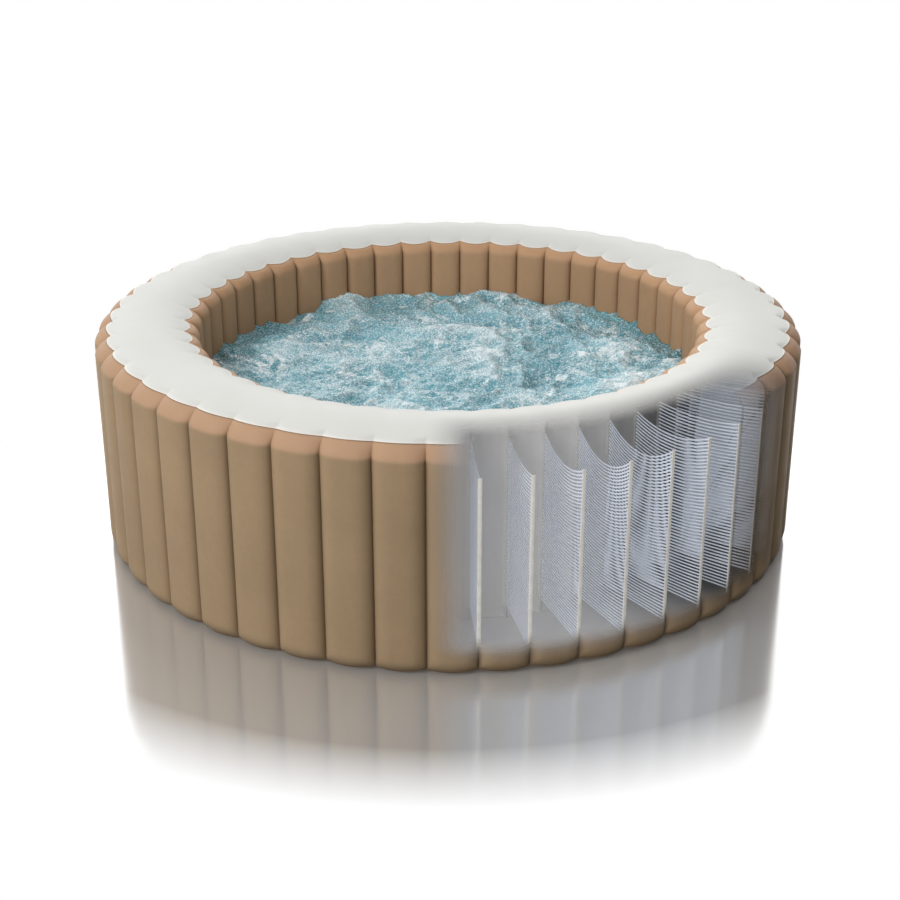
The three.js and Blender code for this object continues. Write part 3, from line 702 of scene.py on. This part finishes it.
class Shader(Nodes):
    """A material of one principled surface."""

    def __init__(self, name, colour, roughness, **settings):
        self.material = bpy.data.materials.new(name)
        self.material.use_nodes = True
        super().__init__(self.material.node_tree)
        self.surface = self.nodes["Principled BSDF"]
        self.set(self.surface, Base_Color=colour, Roughness=roughness, **settings)

    def place(self):
        return self.add("ShaderNodeTexCoord").outputs["Object"]

    def noise(self, scale, detail=3, roughness=0.5):
        values = {"Scale": scale, "Detail": detail, "Roughness": roughness, "Vector": self.place()}
        return self.add("ShaderNodeTexNoise", **values).outputs["Fac"]

    def cells(self, scale):
        return self.add("ShaderNodeTexVoronoi", Scale=scale, Vector=self.place()).outputs["Distance"]

    def attribute(self, name):
        return self.add("ShaderNodeAttribute", attribute_name=name).outputs["Fac"]

    def bump(self, height, strength, distance):
        """Add a bump over those that the surface already has."""
        node = self.add("ShaderNodeBump", Strength=strength, Distance=distance, Height=height)
        old = self.surface.inputs["Normal"]
        if old.links:
            self.links.new(old.links[0].from_socket, node.inputs["Normal"])
        self.links.new(node.outputs[0], old)

    def show(self, shader):
        """Use this in place of the principled surface."""
        self.links.new(shader, self.nodes["Material Output"].inputs["Surface"])


def vinyl(name, colour, painted_light_colour, roughness=0.46, mottle=0.06, window=True, glow=0.0, shoulder=None):
    """Laminated vinyl sheet: a fine leather grain, faint mottling, and painted shade in its seams (on the
    white panel, a painted highlight along its edges).
    """
    s = Shader(name, colour, roughness, Specular_IOR_Level=0.09, Coat_Weight=0.01, Coat_Roughness=0.3)
    patches = s.ramp(s.noise(3.0, 4), 0.35, 0.65, 1 - mottle, 1 + mottle)
    fine = s.ramp(s.noise(60, 2), 0.3, 0.7, 1 - mottle / 3, 1 + mottle / 3)
    tinted = s.mix(1.0, colour, s.grey(s.math("MULTIPLY", patches, fine)), "MULTIPLY")
    if shoulder:
        # Painted light: the flutes' upward-facing shoulders are painted paler and warmer, as if lit from
        # above.
        tinted = s.mix(s.attribute("shoulder"), tinted, shoulder)
    # Painted light: towards the second colour where the skin marks it, painted shade on the tan and the
    # backing, a painted highlight on the white.
    base = s.mix(s.math("MULTIPLY", s.attribute("groove"), 0.6), tinted, painted_light_colour)
    s.set(s.surface, Roughness=s.ramp(s.noise(14, 3), 0.3, 0.7, roughness - 0.05, roughness + 0.07))
    if window:
        s.set(s.surface, Alpha=s.ramp(s.attribute("see"), 0.0, 1.0, 1.0, 0.0))
    if glow:
        # Painted light: the backing glows and is painted darker round the side, standing in for daylight
        # that soaks through the front into the air chamber, little of which gets round the side.
        base = s.mix(1.0, base, s.grey(s.ramp(s.attribute("glow"), DIM, 1.0, DIM, 1.0)), "MULTIPLY")
        strength = s.math("MULTIPLY", s.attribute("glow"), glow)
        s.set(s.surface, Emission_Color=(0.98, 0.98, 1.0, 1.0), Emission_Strength=strength)
    s.set(s.surface, Base_Color=base)
    s.bump(s.cells(900), 0.10, 0.0004)
    s.bump(s.noise(420, 3), 0.12, 0.0005)
    return s.material


def moulded(name, colour, roughness, mottle, wear):
    """A moulded part: a fine spark-eroded grain, faint flow marks and a lighter rubbed bloom."""
    s = Shader(name, colour, roughness, Specular_IOR_Level=0.45)
    flow = s.ramp(s.noise(30, 3), 0.35, 0.65, 0.0, 1.0)
    low = tuple(c * (1 - mottle) for c in colour[:3]) + (1,)
    high = tuple(min(1, c * (1 + mottle)) for c in colour[:3]) + (1,)
    bloom = s.ramp(s.noise(110, 5, 0.7), 0.58, 0.75, 0.0, wear)
    s.set(s.surface, Base_Color=s.mix(bloom, s.mix(flow, low, high), srgb(150, 148, 144)))
    s.set(s.surface, Roughness=s.ramp(s.noise(70, 3), 0.3, 0.7, roughness - 0.06, roughness + 0.08))
    s.bump(s.noise(1500, 2), 0.15, 0.0002)
    s.bump(s.noise(160, 3), 0.08, 0.0004)
    return s.material


def spring_steel():
    """Drawn wire: fine streaks and a slight blue-grey bloom."""
    s = Shader("spring_steel_wire", srgb(196, 199, 203), 0.3, Metallic=1.0)
    streaks = s.ramp(s.noise(600, 3), 0.35, 0.65)
    s.set(s.surface, Base_Color=s.mix(streaks, srgb(186, 190, 196), srgb(208, 210, 212)))
    s.set(s.surface, Roughness=s.ramp(s.noise(900, 2), 0.3, 0.7, 0.22, 0.42))
    return s.material


# Each vinyl's second colour is painted light: painted shade for the tan vinyls and the backing, a painted
# highlight for the white.
TAN_OUT = vinyl("tan_vinyl", srgb(170, 145, 114), srgb(92, 76, 60), 0.52, shoulder=srgb(190, 154, 124))
# Painted light: the inner wall's copy of the tan vinyl is lighter and warmer than the outer, making up for
# the dimmer, bluish light inside the tub.
TAN_IN = vinyl("tan_vinyl_inside", srgb(184, 148, 115), srgb(92, 66, 48), shoulder=srgb(194, 154, 119))
WHITE = vinyl("white_vinyl", srgb(219, 219, 214), srgb(250, 244, 234), roughness=0.45, mottle=0.012)
CHAMBER = vinyl("vinyl_backing", srgb(210, 208, 205), srgb(186, 186, 186), 0.6, mottle=0.03, glow=0.08)
BASE = vinyl("base_vinyl", srgb(140, 118, 94), srgb(100, 84, 68), roughness=0.6, window=False)
DARK_PLASTIC = moulded("dark_plastic", srgb(52, 52, 54), 0.42, 0.10, 0.10)
GREY_PLASTIC = moulded("grey_plastic_moulding", srgb(158, 160, 162), 0.45, 0.05, 0.05)
RUBBER = moulded("black_rubber", srgb(34, 34, 34), 0.78, 0.15, 0.18)
RING_VINYL = moulded("ring_tube_vinyl", srgb(206, 206, 203), 0.5, 0.04, 0.03)
STEEL = spring_steel()


def strip_material(name, alpha):
    """A web's weld strip: milky sheet, a little cloudy."""
    s = Shader(name, srgb(226, 222, 212), 0.5, Specular_IOR_Level=0.35)
    s.bump(s.noise(300, 2), 0.2, 0.0006)
    tone = s.ramp(s.noise(40, 2), 0.3, 0.7, 0.0, 1.0)
    s.set(s.surface, Base_Color=s.mix(tone, srgb(238, 234, 226), srgb(222, 217, 206)), Alpha=alpha)
    # Painted light: the strips give off a little light of their own, standing in for light in the air
    # chamber.
    s.set(s.surface, Emission_Color=(1.0, 0.98, 0.95, 1.0), Emission_Strength=0.14)
    return s.material


def fibre_material():
    """A twisted polyester cord: fine turns across it, and a soft sheen."""
    s = Shader("fibre_cord", srgb(222, 231, 244), 0.55, Sheen_Weight=0.3, Sheen_Roughness=0.4)
    settings = {"Scale": 180.0, "Distortion": 0.6, "bands_direction": "DIAGONAL", "Vector": s.place()}
    twist = s.add("ShaderNodeTexWave", **settings).outputs["Fac"]
    s.bump(twist, 0.35, 0.0005)
    s.set(s.surface, Base_Color=s.mix(twist, srgb(206, 214, 230), srgb(238, 242, 250)))
    # Painted light: the cords give off a little light of their own, standing in for light in the air
    # chamber.
    s.set(s.surface, Emission_Color=(0.86, 0.92, 1.0, 1.0), Emission_Strength=0.12)
    return s.material


def water_material():
    """Bubbling water: teal between bubbles, and drifts of white foam on the heaps."""
    s = Shader("churned_water", srgb(86, 150, 165), 0.18, Coat_Weight=0.25, Coat_Roughness=0.08)
    crest = s.ramp(s.attribute("crest"), 0.012, 0.050)
    drifts = s.ramp(s.noise(6.5, 6, 0.62), 0.50, 0.62)
    strokes = s.ramp(s.noise(28, 4, 0.65), 0.44, 0.62)
    foam = s.math("MULTIPLY", drifts, strokes)
    foam = s.math("ADD", foam, s.math("MULTIPLY", crest, 0.8), clamp=True)
    bubbles = s.ramp(s.noise(165, 4, 0.7), 0.50, 0.58)
    level = s.ramp(foam, 0.0, 1.0, 0.54, 1.0)
    white = s.math("ADD", bubbles, s.math("MULTIPLY", foam, 0.9))
    speckled = s.math("MULTIPLY", white, level, clamp=True)
    deep = s.mix(s.ramp(s.noise(4, 3), 0.35, 0.65), srgb(70, 142, 158), srgb(106, 174, 189))
    roughness = s.ramp(speckled, 0.0, 1.0, 0.16, 0.5)
    s.set(s.surface, Base_Color=s.mix(speckled, deep, srgb(240, 249, 251)), Roughness=roughness)
    s.bump(s.noise(130, 4, 0.7), 0.5, 0.004)
    s.bump(s.noise(45, 3, 0.6), 0.3, 0.008)
    return s.material


STRIP = strip_material("weld_strip", 1.0)
CLEAR_STRIP = strip_material("clear_weld_strip", 0.12)
FIBRE = fibre_material()
WATER = water_material()


# ---- Ports: lathe work in millimetres, in each port's own frame
# A port's frame: Z points out of the tub, Y up, and Z is 0 on the tub's axis.
MM = 0.001
PORTS = {
    "water_inlet": (172.5, 0.235),
    "water_outlet": (187.5, 0.235),
    "air": (180.0, 0.110),
    "drain": (195.0, 0.075),
    "inflation": (157.5, 0.560),
}
Pipe = namedtuple("Pipe", "bore neck sleeve sleeve_out spout spout_end")
WATER_PIPE = Pipe(18.5, 21.4, 22, 24.5, 24, 28)
AIR_PIPE = Pipe(12, 17.2, 18, 20.5, 18, 24)
DRAIN_PIPE = Pipe(12, 14.4, 15, 17.5, 17, 22)
PIPES = {
    "water_inlet": WATER_PIPE, "water_outlet": WATER_PIPE, "air": AIR_PIPE, "drain": DRAIN_PIPE,
}
FLAT = math.cos(math.radians(0.55 * HALF_FLUTE))
OUTER_FACE = OUTER_CREST_R / MM * FLAT
INNER_FACE = INNER_CREST_R / MM * FLAT
GAP = 0.3
FLANGE_R = 37
FLANGE_LOW = OUTER_FACE + GAP
FLANGE_HIGH = FLANGE_LOW + 4
NECK = 20
THREAD_PITCH = 4
CAP_WALL = 5
SEAL = 1.6
INNER_FLANGE_R = 27
INNER_FLANGE = 3
RING_R, RING_Z, RING_TUBE, JETS = 748, 15.5, 12.5, 24


def port_matrix(port):
    """From a port's frame, in millimetres, to the tub's."""
    azimuth, height = PORTS[port]
    out = Vector(polar(1.0, azimuth, 0.0).tolist())
    up = Vector((0, 0, 1))
    matrix = Matrix((up.cross(out), up, out)).transposed().to_4x4()
    matrix.translation = (0, 0, height)
    return matrix @ Matrix.Scale(MM, 4)


def filleted(outline, fillet, steps=4):
    """The outline with each corner rounded; one that starts on the axis is open, and else closed."""
    points = np.asarray(outline, float)
    on_axis = points[0][0] == 0
    rounded = []
    for i, corner in enumerate(points):
        before, after = points[i - 1], points[(i + 1) % len(points)]
        if on_axis and i in (0, len(points) - 1):
            rounded.append(corner)
            continue
        to_before, to_after = before - corner, after - corner
        lengths = np.linalg.norm(to_before), np.linalg.norm(to_after)
        reach = min(fillet, 0.45 * lengths[0], 0.45 * lengths[1])
        start = corner + to_before / lengths[0] * reach
        end = corner + to_after / lengths[1] * reach
        for t in np.linspace(0, 1, steps + 1):
            rounded.append((1 - t) ** 2 * start + 2 * t * (1 - t) * corner + t * t * end)
    return np.array(rounded)


def dense(points, spacing, closed):
    """The same outline with no stretch longer than spacing."""
    ends = np.roll(points, -1, 0) if closed else points[1:]
    result = []
    for a, b in zip(points, ends):
        count = max(1, math.ceil(np.linalg.norm(b - a) / spacing))
        result += [a + (b - a) * k / count for k in range(count)]
    return np.array(result if closed else result + [points[-1]])


def bare_object(vertices, faces):
    """A solid's object, with its normals outwards and no material yet."""
    mesh = bpy.data.meshes.new("bare")
    mesh.from_pydata(np.asarray(vertices).reshape(-1, 3).tolist(), [], [list(f) for f in faces])
    shape = bmesh.new()
    shape.from_mesh(mesh)
    bmesh.ops.recalc_face_normals(shape, faces=shape.faces)
    shape.to_mesh(mesh)
    shape.free()
    return linked("bare", mesh)


def turned(outline, fillet=0.8, sides=96, spacing=5.0, ripple=None):
    """A solid of revolution about Z. ripple(r, z, angle) gives the surface's own radius."""
    closed = outline[0][0] != 0
    points = dense(filleted(outline, fillet), spacing, closed)
    if not closed:
        poles, points = points[[0, -1]], points[1:-1]
    rows = len(points)
    angle = np.arange(sides)[None, :] * 2 * math.pi / sides
    r = points[:, :1] + 0 * angle
    z = points[:, 1:] + 0 * angle
    if ripple:
        r = ripple(r, z, angle)
    vertices = np.stack([r * np.cos(angle), r * np.sin(angle), z], -1).reshape(-1, 3)
    faces = grid_faces(rows, sides, close_rows=closed, close_columns=True).tolist()
    if not closed:
        vertices = np.concatenate([vertices, [[0, 0, poles[0][1]], [0, 0, poles[1][1]]]])
        first, last = rows * sides, rows * sides + 1
        for i in range(sides):
            j = (i + 1) % sides
            faces += [[first, j, i], [last, (rows - 1) * sides + i, (rows - 1) * sides + j]]
    return bare_object(vertices, faces)


def flat_ring(inner, outer, low, high):
    """A ring's outline, or a disc's where inner is 0."""
    return [(inner, low), (outer, low), (outer, high), (inner, high)]


def slab(size, centre, bevel):
    """A block with rounded edges."""
    shape = bmesh.new()
    bmesh.ops.create_cube(shape, size=1)
    bmesh.ops.scale(shape, vec=size, verts=shape.verts)
    bmesh.ops.bevel(shape, geom=shape.edges[:], offset=bevel, segments=3, affect="EDGES", profile=0.5)
    bmesh.ops.translate(shape, vec=centre, verts=shape.verts)
    mesh = bpy.data.meshes.new("bare")
    shape.to_mesh(mesh)
    shape.free()
    return linked("bare", mesh)


def rod(radius, length, centre):
    """A round bar along X."""
    bar = turned(flat_ring(0, radius, -length / 2, length / 2), 0.3, 32)
    bar.data.transform(Matrix.Translation(centre) @ Matrix.Rotation(math.pi / 2, 4, "Y"))
    return bar


def combined(piece, others, operation):
    """The piece with the others joined to it or cut from it, which are used up."""
    for other in others:
        modifier = piece.modifiers.new("combine", "BOOLEAN")
        modifier.object = other
        modifier.operation = operation
        modifier.solver = "EXACT"
    bpy.context.view_layer.update()
    depsgraph = bpy.context.evaluated_depsgraph_get()
    mesh = bpy.data.meshes.new_from_object(piece.evaluated_get(depsgraph))
    piece.modifiers.clear()
    piece.data = mesh
    for other in others:
        bpy.data.objects.remove(other)
    return piece


def place(piece, node, port, material, body=ROOT):
    """Move a finished piece from its port's frame to the tub, in place of its CAD node."""
    piece.name = node + "_detail"
    piece.data.name = piece.name
    piece.data.transform(port_matrix(port))
    piece.data.shade_smooth()
    piece.data.set_sharp_from_angle(angle=math.radians(38))
    piece.data.materials.clear()
    piece.data.materials.append(material)
    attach(piece, body)
    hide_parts(node)
    return piece


def sleeve(pipe):
    """The tube through the air chamber, with a flange behind each wall."""
    low = INNER_FACE + SKIN / MM + GAP
    high = OUTER_FACE - SKIN / MM - GAP
    flange_in, flange_out, thick = INNER_FLANGE_R, 34, 2
    return turned([
        (pipe.sleeve, low), (flange_in, low), (flange_in, low + thick), (pipe.sleeve_out, low + thick),
        (pipe.sleeve_out, high - thick), (flange_out, high - thick), (flange_out, high), (pipe.sleeve, high),
    ], spacing=30)


def outer_fitting(pipe):
    """A lock-nut flange on the wall, a neck into the sleeve and a threaded spout."""
    low, high, end = FLANGE_LOW, FLANGE_HIGH, FLANGE_HIGH + pipe.spout_end
    hub = pipe.spout + 2.4

    def surface(r, z, angle):
        notch = np.clip(np.cos(12 * angle) - 0.72, 0, 1) / 0.28 * 1.1
        r = r - notch * (r > FLANGE_R - 2)
        turn = z / THREAD_PITCH - angle / (2 * math.pi)
        thread = 0.9 * (0.5 + 0.5 * np.cos(2 * math.pi * turn)) ** 1.5
        along = smoothstep(high + 3, high + 5, z) * (1 - smoothstep(end - 3, end - 1.5, z))
        return r - thread * along * (np.abs(r - pipe.spout) < 0.4)

    return turned([
        (pipe.bore, low - NECK), (pipe.neck, low - NECK), (pipe.neck, low), (FLANGE_R, low),
        (FLANGE_R, high - 0.6), (FLANGE_R - 3, high), (hub, high), (hub, high + 1.6),
        (pipe.spout, high + 1.6), (pipe.spout, end), (pipe.bore, end),
    ], 0.6, 144, 0.7, surface)


def cap_seal(pipe):
    low = FLANGE_HIGH + pipe.spout_end + GAP
    return turned(flat_ring(pipe.bore - 1, pipe.spout - 1, low, low + SEAL), 0.7)


def screw_cap(pipe):
    """A cap with nine grips, a rounded top edge and a dished face."""
    low = FLANGE_HIGH + 3
    end = FLANGE_HIGH + pipe.spout_end + 2 * GAP + SEAL
    top = end + 3
    radius, bore = pipe.spout + CAP_WALL, pipe.spout + 0.6

    def grips(r, z, angle):
        dip = 1.3 * smoothstep(0.1, 0.9, np.cos(9 * angle)) * smoothstep(low + 1.5, low + 4, z)
        fine = 0.18 * (0.5 + 0.5 * np.cos(90 * angle)) * (1 - smoothstep(low, low + 2.5, z))
        return r - (dip + fine) * (r > bore + 2.4) * smoothstep(bore + 2.4, radius - 0.4, r)

    return turned([
        (0, end), (bore, end), (bore, low), (radius, low), (radius, top), (radius - 4.5, top),
        (radius - 5.6, top - 0.9), (8, top - 0.9), (7, top - 0.2), (0, top - 0.2),
    ], 1.1, 180, 1.1, grips)


def strainer_housing(pipe):
    face = INNER_FACE - GAP
    return turned([
        (pipe.bore, face - INNER_FLANGE), (INNER_FLANGE_R, face - INNER_FLANGE), (INNER_FLANGE_R, face),
        (pipe.neck, face), (pipe.neck, face + NECK), (pipe.bore, face + NECK),
    ])


def strainer():
    """A shallow basket with rounded slots in its face and ribs round its side."""
    back = INNER_FACE - 2 * GAP - INNER_FLANGE
    front = back - 16

    def ribs(r, z, angle):
        return r - 1.0 * smoothstep(-0.2, 0.6, np.cos(8 * angle)) * smoothstep(23.5, 24.6, r)

    basket = turned([
        (0, front), (25, front), (25, back), (21.5, back), (21.5, front + 2.5), (0, front + 2.5),
    ], 1.2, 144, 1.5, ribs)
    slots = []
    for y in (-12, -6, 0, 6, 12):
        length = 2 * math.sqrt(18**2 - y**2)
        slots.append(slab((length, 2.6, 6), (0, y, front + 1.2), 1.2))
    return combined(basket, slots, "DIFFERENCE")


def feed_elbow():
    """A moulded elbow that turns from the sleeve down into the ring of jets."""
    face = INNER_FACE - GAP
    drop = PORTS["air"][1] / MM - RING_Z - RING_TUBE + 4
    bend = 14
    level = np.stack([np.zeros(6), np.zeros(6), np.linspace(face, RING_R + bend, 6)], -1)[:-1]
    t = np.linspace(0, math.pi / 2, 14)
    turn = np.stack([0 * t, -bend * (1 - np.cos(t)), RING_R + bend - bend * np.sin(t)], -1)
    down = np.stack([np.zeros(10), np.linspace(-bend, -drop, 11)[1:], np.full(10, RING_R)], -1)
    path = np.concatenate([level, turn, down])
    radius = np.interp(np.arange(len(path)), [0, 4, 19, 22, len(path) - 1], [15.8, 15.2, 12.5, 10, 10])
    radius = radius[:, None, None]
    body = bare_object(*tube_along(path, radius, radius, 48))
    flange = turned(flat_ring(0, INNER_FLANGE_R, face - INNER_FLANGE, face))
    return combined(body, [flange], "UNION")


def jet_ring():
    """The ring of air jets, in the tub's own frame: a smooth tube with a row of small nozzles."""
    angle = np.arange(24) * 2 * math.pi / 24
    section = np.stack([RING_R + RING_TUBE * np.cos(angle), RING_Z + RING_TUBE * np.sin(angle)], -1)
    ring = turned([tuple(p) for p in section], 0.1, 288, 9)
    nozzles = []
    for i in range(JETS):
        top = RING_Z + RING_TUBE + 0.9
        nozzle = turned([
            (0, top - 3), (3.4, top - 3), (2.6, top), (1.25, top), (1.25, top - 1.2), (0, top - 1.2),
        ], 0.3, 24)
        x, y, _ = polar(RING_R, (i + 0.5) * 360 / JETS, 0)
        nozzle.data.transform(Matrix.Translation((x, y, 0)))
        nozzles.append(nozzle)
    return combined(ring, nozzles, "UNION")


def drain_plug():
    """A beaded stopper for the drain's sleeve, with a pierced tab to pull it by."""
    face = INNER_FACE - GAP
    front = face - INNER_FLANGE
    stem_r = DRAIN_PIPE.sleeve - 1.2

    def beads(r, z, angle):
        ring = 0.6 * (0.5 - 0.5 * np.cos(2 * math.pi * (z - face) / 3.5))
        return r - ring * (np.abs(r - stem_r) < 0.5) * (z > face + 1) * (z < face + 13)

    plug = turned([(0, front), (20, front), (20, face), (stem_r, face), (stem_r, face + 14), (0, face + 14)],
                  1.0, 96, 0.6, beads)
    pull = combined(slab((5, 16, 13), (0, 0, front - 5.5), 1.2), [slab((8, 8, 6), (0, 0, front - 6), 1.2)],
                    "DIFFERENCE")
    return combined(plug, [pull], "UNION")


VALVE_FACE = FLANGE_LOW + 3
SEAT_LOW = FLANGE_LOW - 24
BRIDGE_LOW = FLANGE_LOW - 16
BUTTON_LOW = FLANGE_LOW - 5
LID_HINGE_Y, LID_HINGE_Z = 24, VALVE_FACE + 3
BRIDGE_HIGH = BRIDGE_LOW + 2
SPRING_TURNS, SPRING_R, SPRING_WIRE = 3, 3.3, 0.4


def valve_body():
    """Barrel, flange, seat and the bridge that guides the stem, with two ears for the cap's pin."""
    low = FLANGE_LOW
    barrel = turned([
        (13.5, low - 34), (17, low - 34), (17, low), (27, low), (27, VALVE_FACE - 0.4), (25.5, VALVE_FACE),
        (15, VALVE_FACE), (14.2, VALVE_FACE - 0.6), (13.5, VALVE_FACE - 0.6), (13.5, SEAT_LOW + 3),
        (8.5, SEAT_LOW + 3), (8.5, SEAT_LOW), (13.5, SEAT_LOW),
    ], 0.4)
    ears = [slab((3, 5, 7.5), (x, LID_HINGE_Y, VALVE_FACE + 1.75), 1.0) for x in (-7, 7)]
    pin = rod(1.2, 18, (0, LID_HINGE_Y, LID_HINGE_Z))
    bar = slab((29, 4, 2), (0, 0, BRIDGE_LOW + 1), 0.4)
    boss = turned(flat_ring(0, 4.5, BRIDGE_LOW, BRIDGE_HIGH), 0.4, 48)
    guide = turned(flat_ring(0, 2.2, BRIDGE_LOW - 1, BRIDGE_HIGH + 1), 0, 48)
    return combined(combined(barrel, [*ears, pin, bar, boss], "UNION"), [guide], "DIFFERENCE")


def valve_poppet():
    """The disc that shuts against the seat, its stem and the button."""
    head = SEAT_LOW - GAP
    return turned([
        (0, head - 3), (10.8, head - 3), (10.8, head), (1.8, head), (1.8, BUTTON_LOW), (5, BUTTON_LOW),
        (5, BUTTON_LOW + 2.5), (0, BUTTON_LOW + 2.5),
    ], 0.5, 64)


def valve_spring():
    """The wire round the poppet's stem, from the bridge up to the button."""
    low, high = BRIDGE_HIGH + GAP + SPRING_WIRE, BUTTON_LOW - GAP - SPRING_WIRE
    share = np.linspace(0, 1, 24 * SPRING_TURNS + 1)
    angle = 2 * math.pi * SPRING_TURNS * share
    path = np.stack([SPRING_R * np.cos(angle), SPRING_R * np.sin(angle), low + (high - low) * share], -1)
    return bare_object(*tube_along(path, SPRING_WIRE, SPRING_WIRE, 8))


def valve_cap():
    """A lid with a hollow plug under it, an arm to its hinge and a lip to lift it by."""
    low = VALVE_FACE + GAP
    high = low + 4
    lid = turned([
        (0, low - 1.5), (10.8, low - 1.5), (10.8, low - 5), (12.3, low - 5), (12.3, low), (20, low),
        (20, high), (16.5, high), (15.5, high - 0.8), (0, high - 0.8),
    ], 0.8, 96)
    arm = slab((10, 8.4, 4), (0, LID_HINGE_Y - 4.2, low + 2), 0.5)
    knuckle = rod(2.5, 10, (0, LID_HINGE_Y, LID_HINGE_Z))
    lip = slab((12, 6, 2.4), (0, -21, low + 1.8), 0.8)
    hole = rod(1.5, 40, (0, LID_HINGE_Y, LID_HINGE_Z))
    return combined(combined(lid, [arm, knuckle, lip], "UNION"), [hole], "DIFFERENCE")


def make_ports():
    for port, pipe in PIPES.items():
        place(sleeve(pipe), port + "_sleeve", port, GREY_PLASTIC)
        if port != "air":
            place(outer_fitting(pipe), port + "_fitting", port, DARK_PLASTIC)
        place(cap_seal(pipe), port + "_cap_seal", port, RUBBER, port + "_seal")
        place(screw_cap(pipe), port + "_cap", port, DARK_PLASTIC, port + "_cap")
    for port in ("water_inlet", "water_outlet"):
        housing = strainer_housing(WATER_PIPE)
        place(housing, port + "_strainer_housing", port, GREY_PLASTIC)
        place(strainer(), port + "_strainer", port, GREY_PLASTIC, port + "_strainer")
    # The non-return flap hangs from a bar inside the air fitting's neck.
    neck_low = FLANGE_LOW - NECK
    ears = [slab((1.1, 1.9, 5), (x, 12.95, neck_low - 1), 0.2) for x in (-9.75, 9.75)]
    pin = rod(0.6, 19.5, (0, 13.2, neck_low - GAP - 1.6))
    place(combined(outer_fitting(AIR_PIPE), [*ears, pin], "UNION"), "air_fitting", "air", DARK_PLASTIC)
    place(feed_elbow(), "air_feed_elbow", "air", GREY_PLASTIC)
    ring = jet_ring()
    ring.data.transform(port_matrix("air").inverted() @ Matrix.Scale(MM, 4))
    place(ring, "air_jet_ring", "air", RING_VINYL)
    place(drain_plug(), "drain_inner_plug", "drain", RUBBER, "drain_plug")
    place(valve_body(), "inflation_valve_body", "inflation", DARK_PLASTIC)
    place(valve_poppet(), "inflation_valve_poppet", "inflation", GREY_PLASTIC, "valve_poppet")
    place(valve_cap(), "inflation_valve_cap", "inflation", DARK_PLASTIC, "valve_cap")
    spring = place(valve_spring(), "inflation_valve_spring", "inflation", STEEL)
    # The spring gets a mesh of its own.
    valve = port_matrix("inflation")
    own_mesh(spring)
    flap = bpy.data.objects["air_non_return_flap"].data
    flap.materials.clear()
    flap.materials.append(RUBBER)


# ---- Stage, lights and camera
def make_stage():
    """A white floor, polished round the tub: part mirror, part a soft grey."""
    floor = new_object("floor", [[-30, -30, 0], [30, -30, 0], [30, 30, 0], [-30, 30, 0]], [[0, 1, 2, 3]])
    floor.location.z = -0.0008
    s = Shader("studio_floor", srgb(190, 189, 188), 0.5)
    mirror = s.add("ShaderNodeBsdfAnisotropic", Color=(1, 1, 1, 1), Roughness=0.12).outputs[0]
    polished = s.mix_shaders(MIRROR_SHARE, s.surface.outputs[0], mirror)
    plain = s.add("ShaderNodeEmission", Strength=1.0).outputs[0]
    reach = s.add("ShaderNodeVectorMath", operation="LENGTH")
    s.links.new(s.place(), reach.inputs[0])
    s.show(s.mix_shaders(s.ramp(reach.outputs["Value"], *POLISH_FADE), polished, plain))
    floor.data.materials.append(s.material)
    floor.visible_diffuse = False  # the world alone says how much light comes up from below


def make_backdrop():
    """A white wall far round the tub, which low views see above the floor."""
    radius, height, sides = 28.0, 14.0, 96
    azimuth = np.arange(sides) * 360 / sides
    rings = np.stack([polar(radius, azimuth, 0.0), polar(radius, azimuth, height)])
    backdrop = new_object("backdrop", rings, grid_faces(2, sides, close_columns=True))
    s = Shader("studio_backdrop", (1, 1, 1, 1), 1.0)
    s.show(s.add("ShaderNodeEmission", Strength=1.0).outputs[0])
    backdrop.data.materials.append(s.material)
    # The world's light on the tub comes through it unchanged.
    backdrop.visible_diffuse = backdrop.visible_glossy = backdrop.visible_shadow = False


def make_lights():
    for name, where, target, size, power in LIGHTS:
        data = bpy.data.lights.new(name, "AREA")
        data.shape = "DISK"
        data.size = size
        data.energy = power
        light = linked(name, data)
        light.location = where
        light.rotation_mode = "QUATERNION"
        light.rotation_quaternion = (Vector(target) - Vector(where)).to_track_quat("-Z", "Y")


def make_world():
    """A bright backdrop behind the tub, daylight from the left, and a dim right side."""
    world = bpy.data.worlds.new("studio")
    world.use_nodes = True
    n = Nodes(world.node_tree)
    direction = n.add("ShaderNodeTexCoord").outputs["Generated"]
    split = n.add("ShaderNodeSeparateXYZ", Vector=direction)
    from_left, behind, above = [
        n.ramp(split.outputs[axis], *ends, interpolation_type="SMOOTHSTEP")
        for axis, ends in WORLD_LIGHT.items()
    ]
    strength = n.math("MULTIPLY", n.math("ADD", from_left, behind), above)
    n.set(n.nodes["Background"], Color=(1, 1, 1, 1), Strength=strength)
    bpy.context.scene.world = world


def make_camera():
    data = bpy.data.cameras.new("camera")
    data.lens = CAMERA_LENS
    data.sensor_width = 36
    camera = linked("camera", data)
    camera.location = polar(CAMERA_DISTANCE, CAMERA_AZIMUTH, CAMERA_HEIGHT)
    turns = (90 - CAMERA_PITCH, 0, CAMERA_AZIMUTH + CAMERA_TURN)
    camera.rotation_euler = [math.radians(turn) for turn in turns]
    bpy.context.scene.camera = camera


# ---- The tub
def make_skins():
    for make, node, slot in (
        (outer_wall, "outer_wall", "wall_vinyl"),
        (inner_wall, "inner_wall", "wall_vinyl"),
        (top_panel, "top_panel", "top_vinyl"),
        (base_sheet, "base_sheet", "base_vinyl"),
    ):
        piece = make()
        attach(piece, ROOT)
        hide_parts(node)


make_camera()
make_stage()
make_backdrop()
make_lights()
make_world()
make_skins()
make_webs()
make_ports()
water()

scene = bpy.context.scene
scene.view_settings.view_transform = "Standard"
scene.cycles.transparent_max_bounces = 32
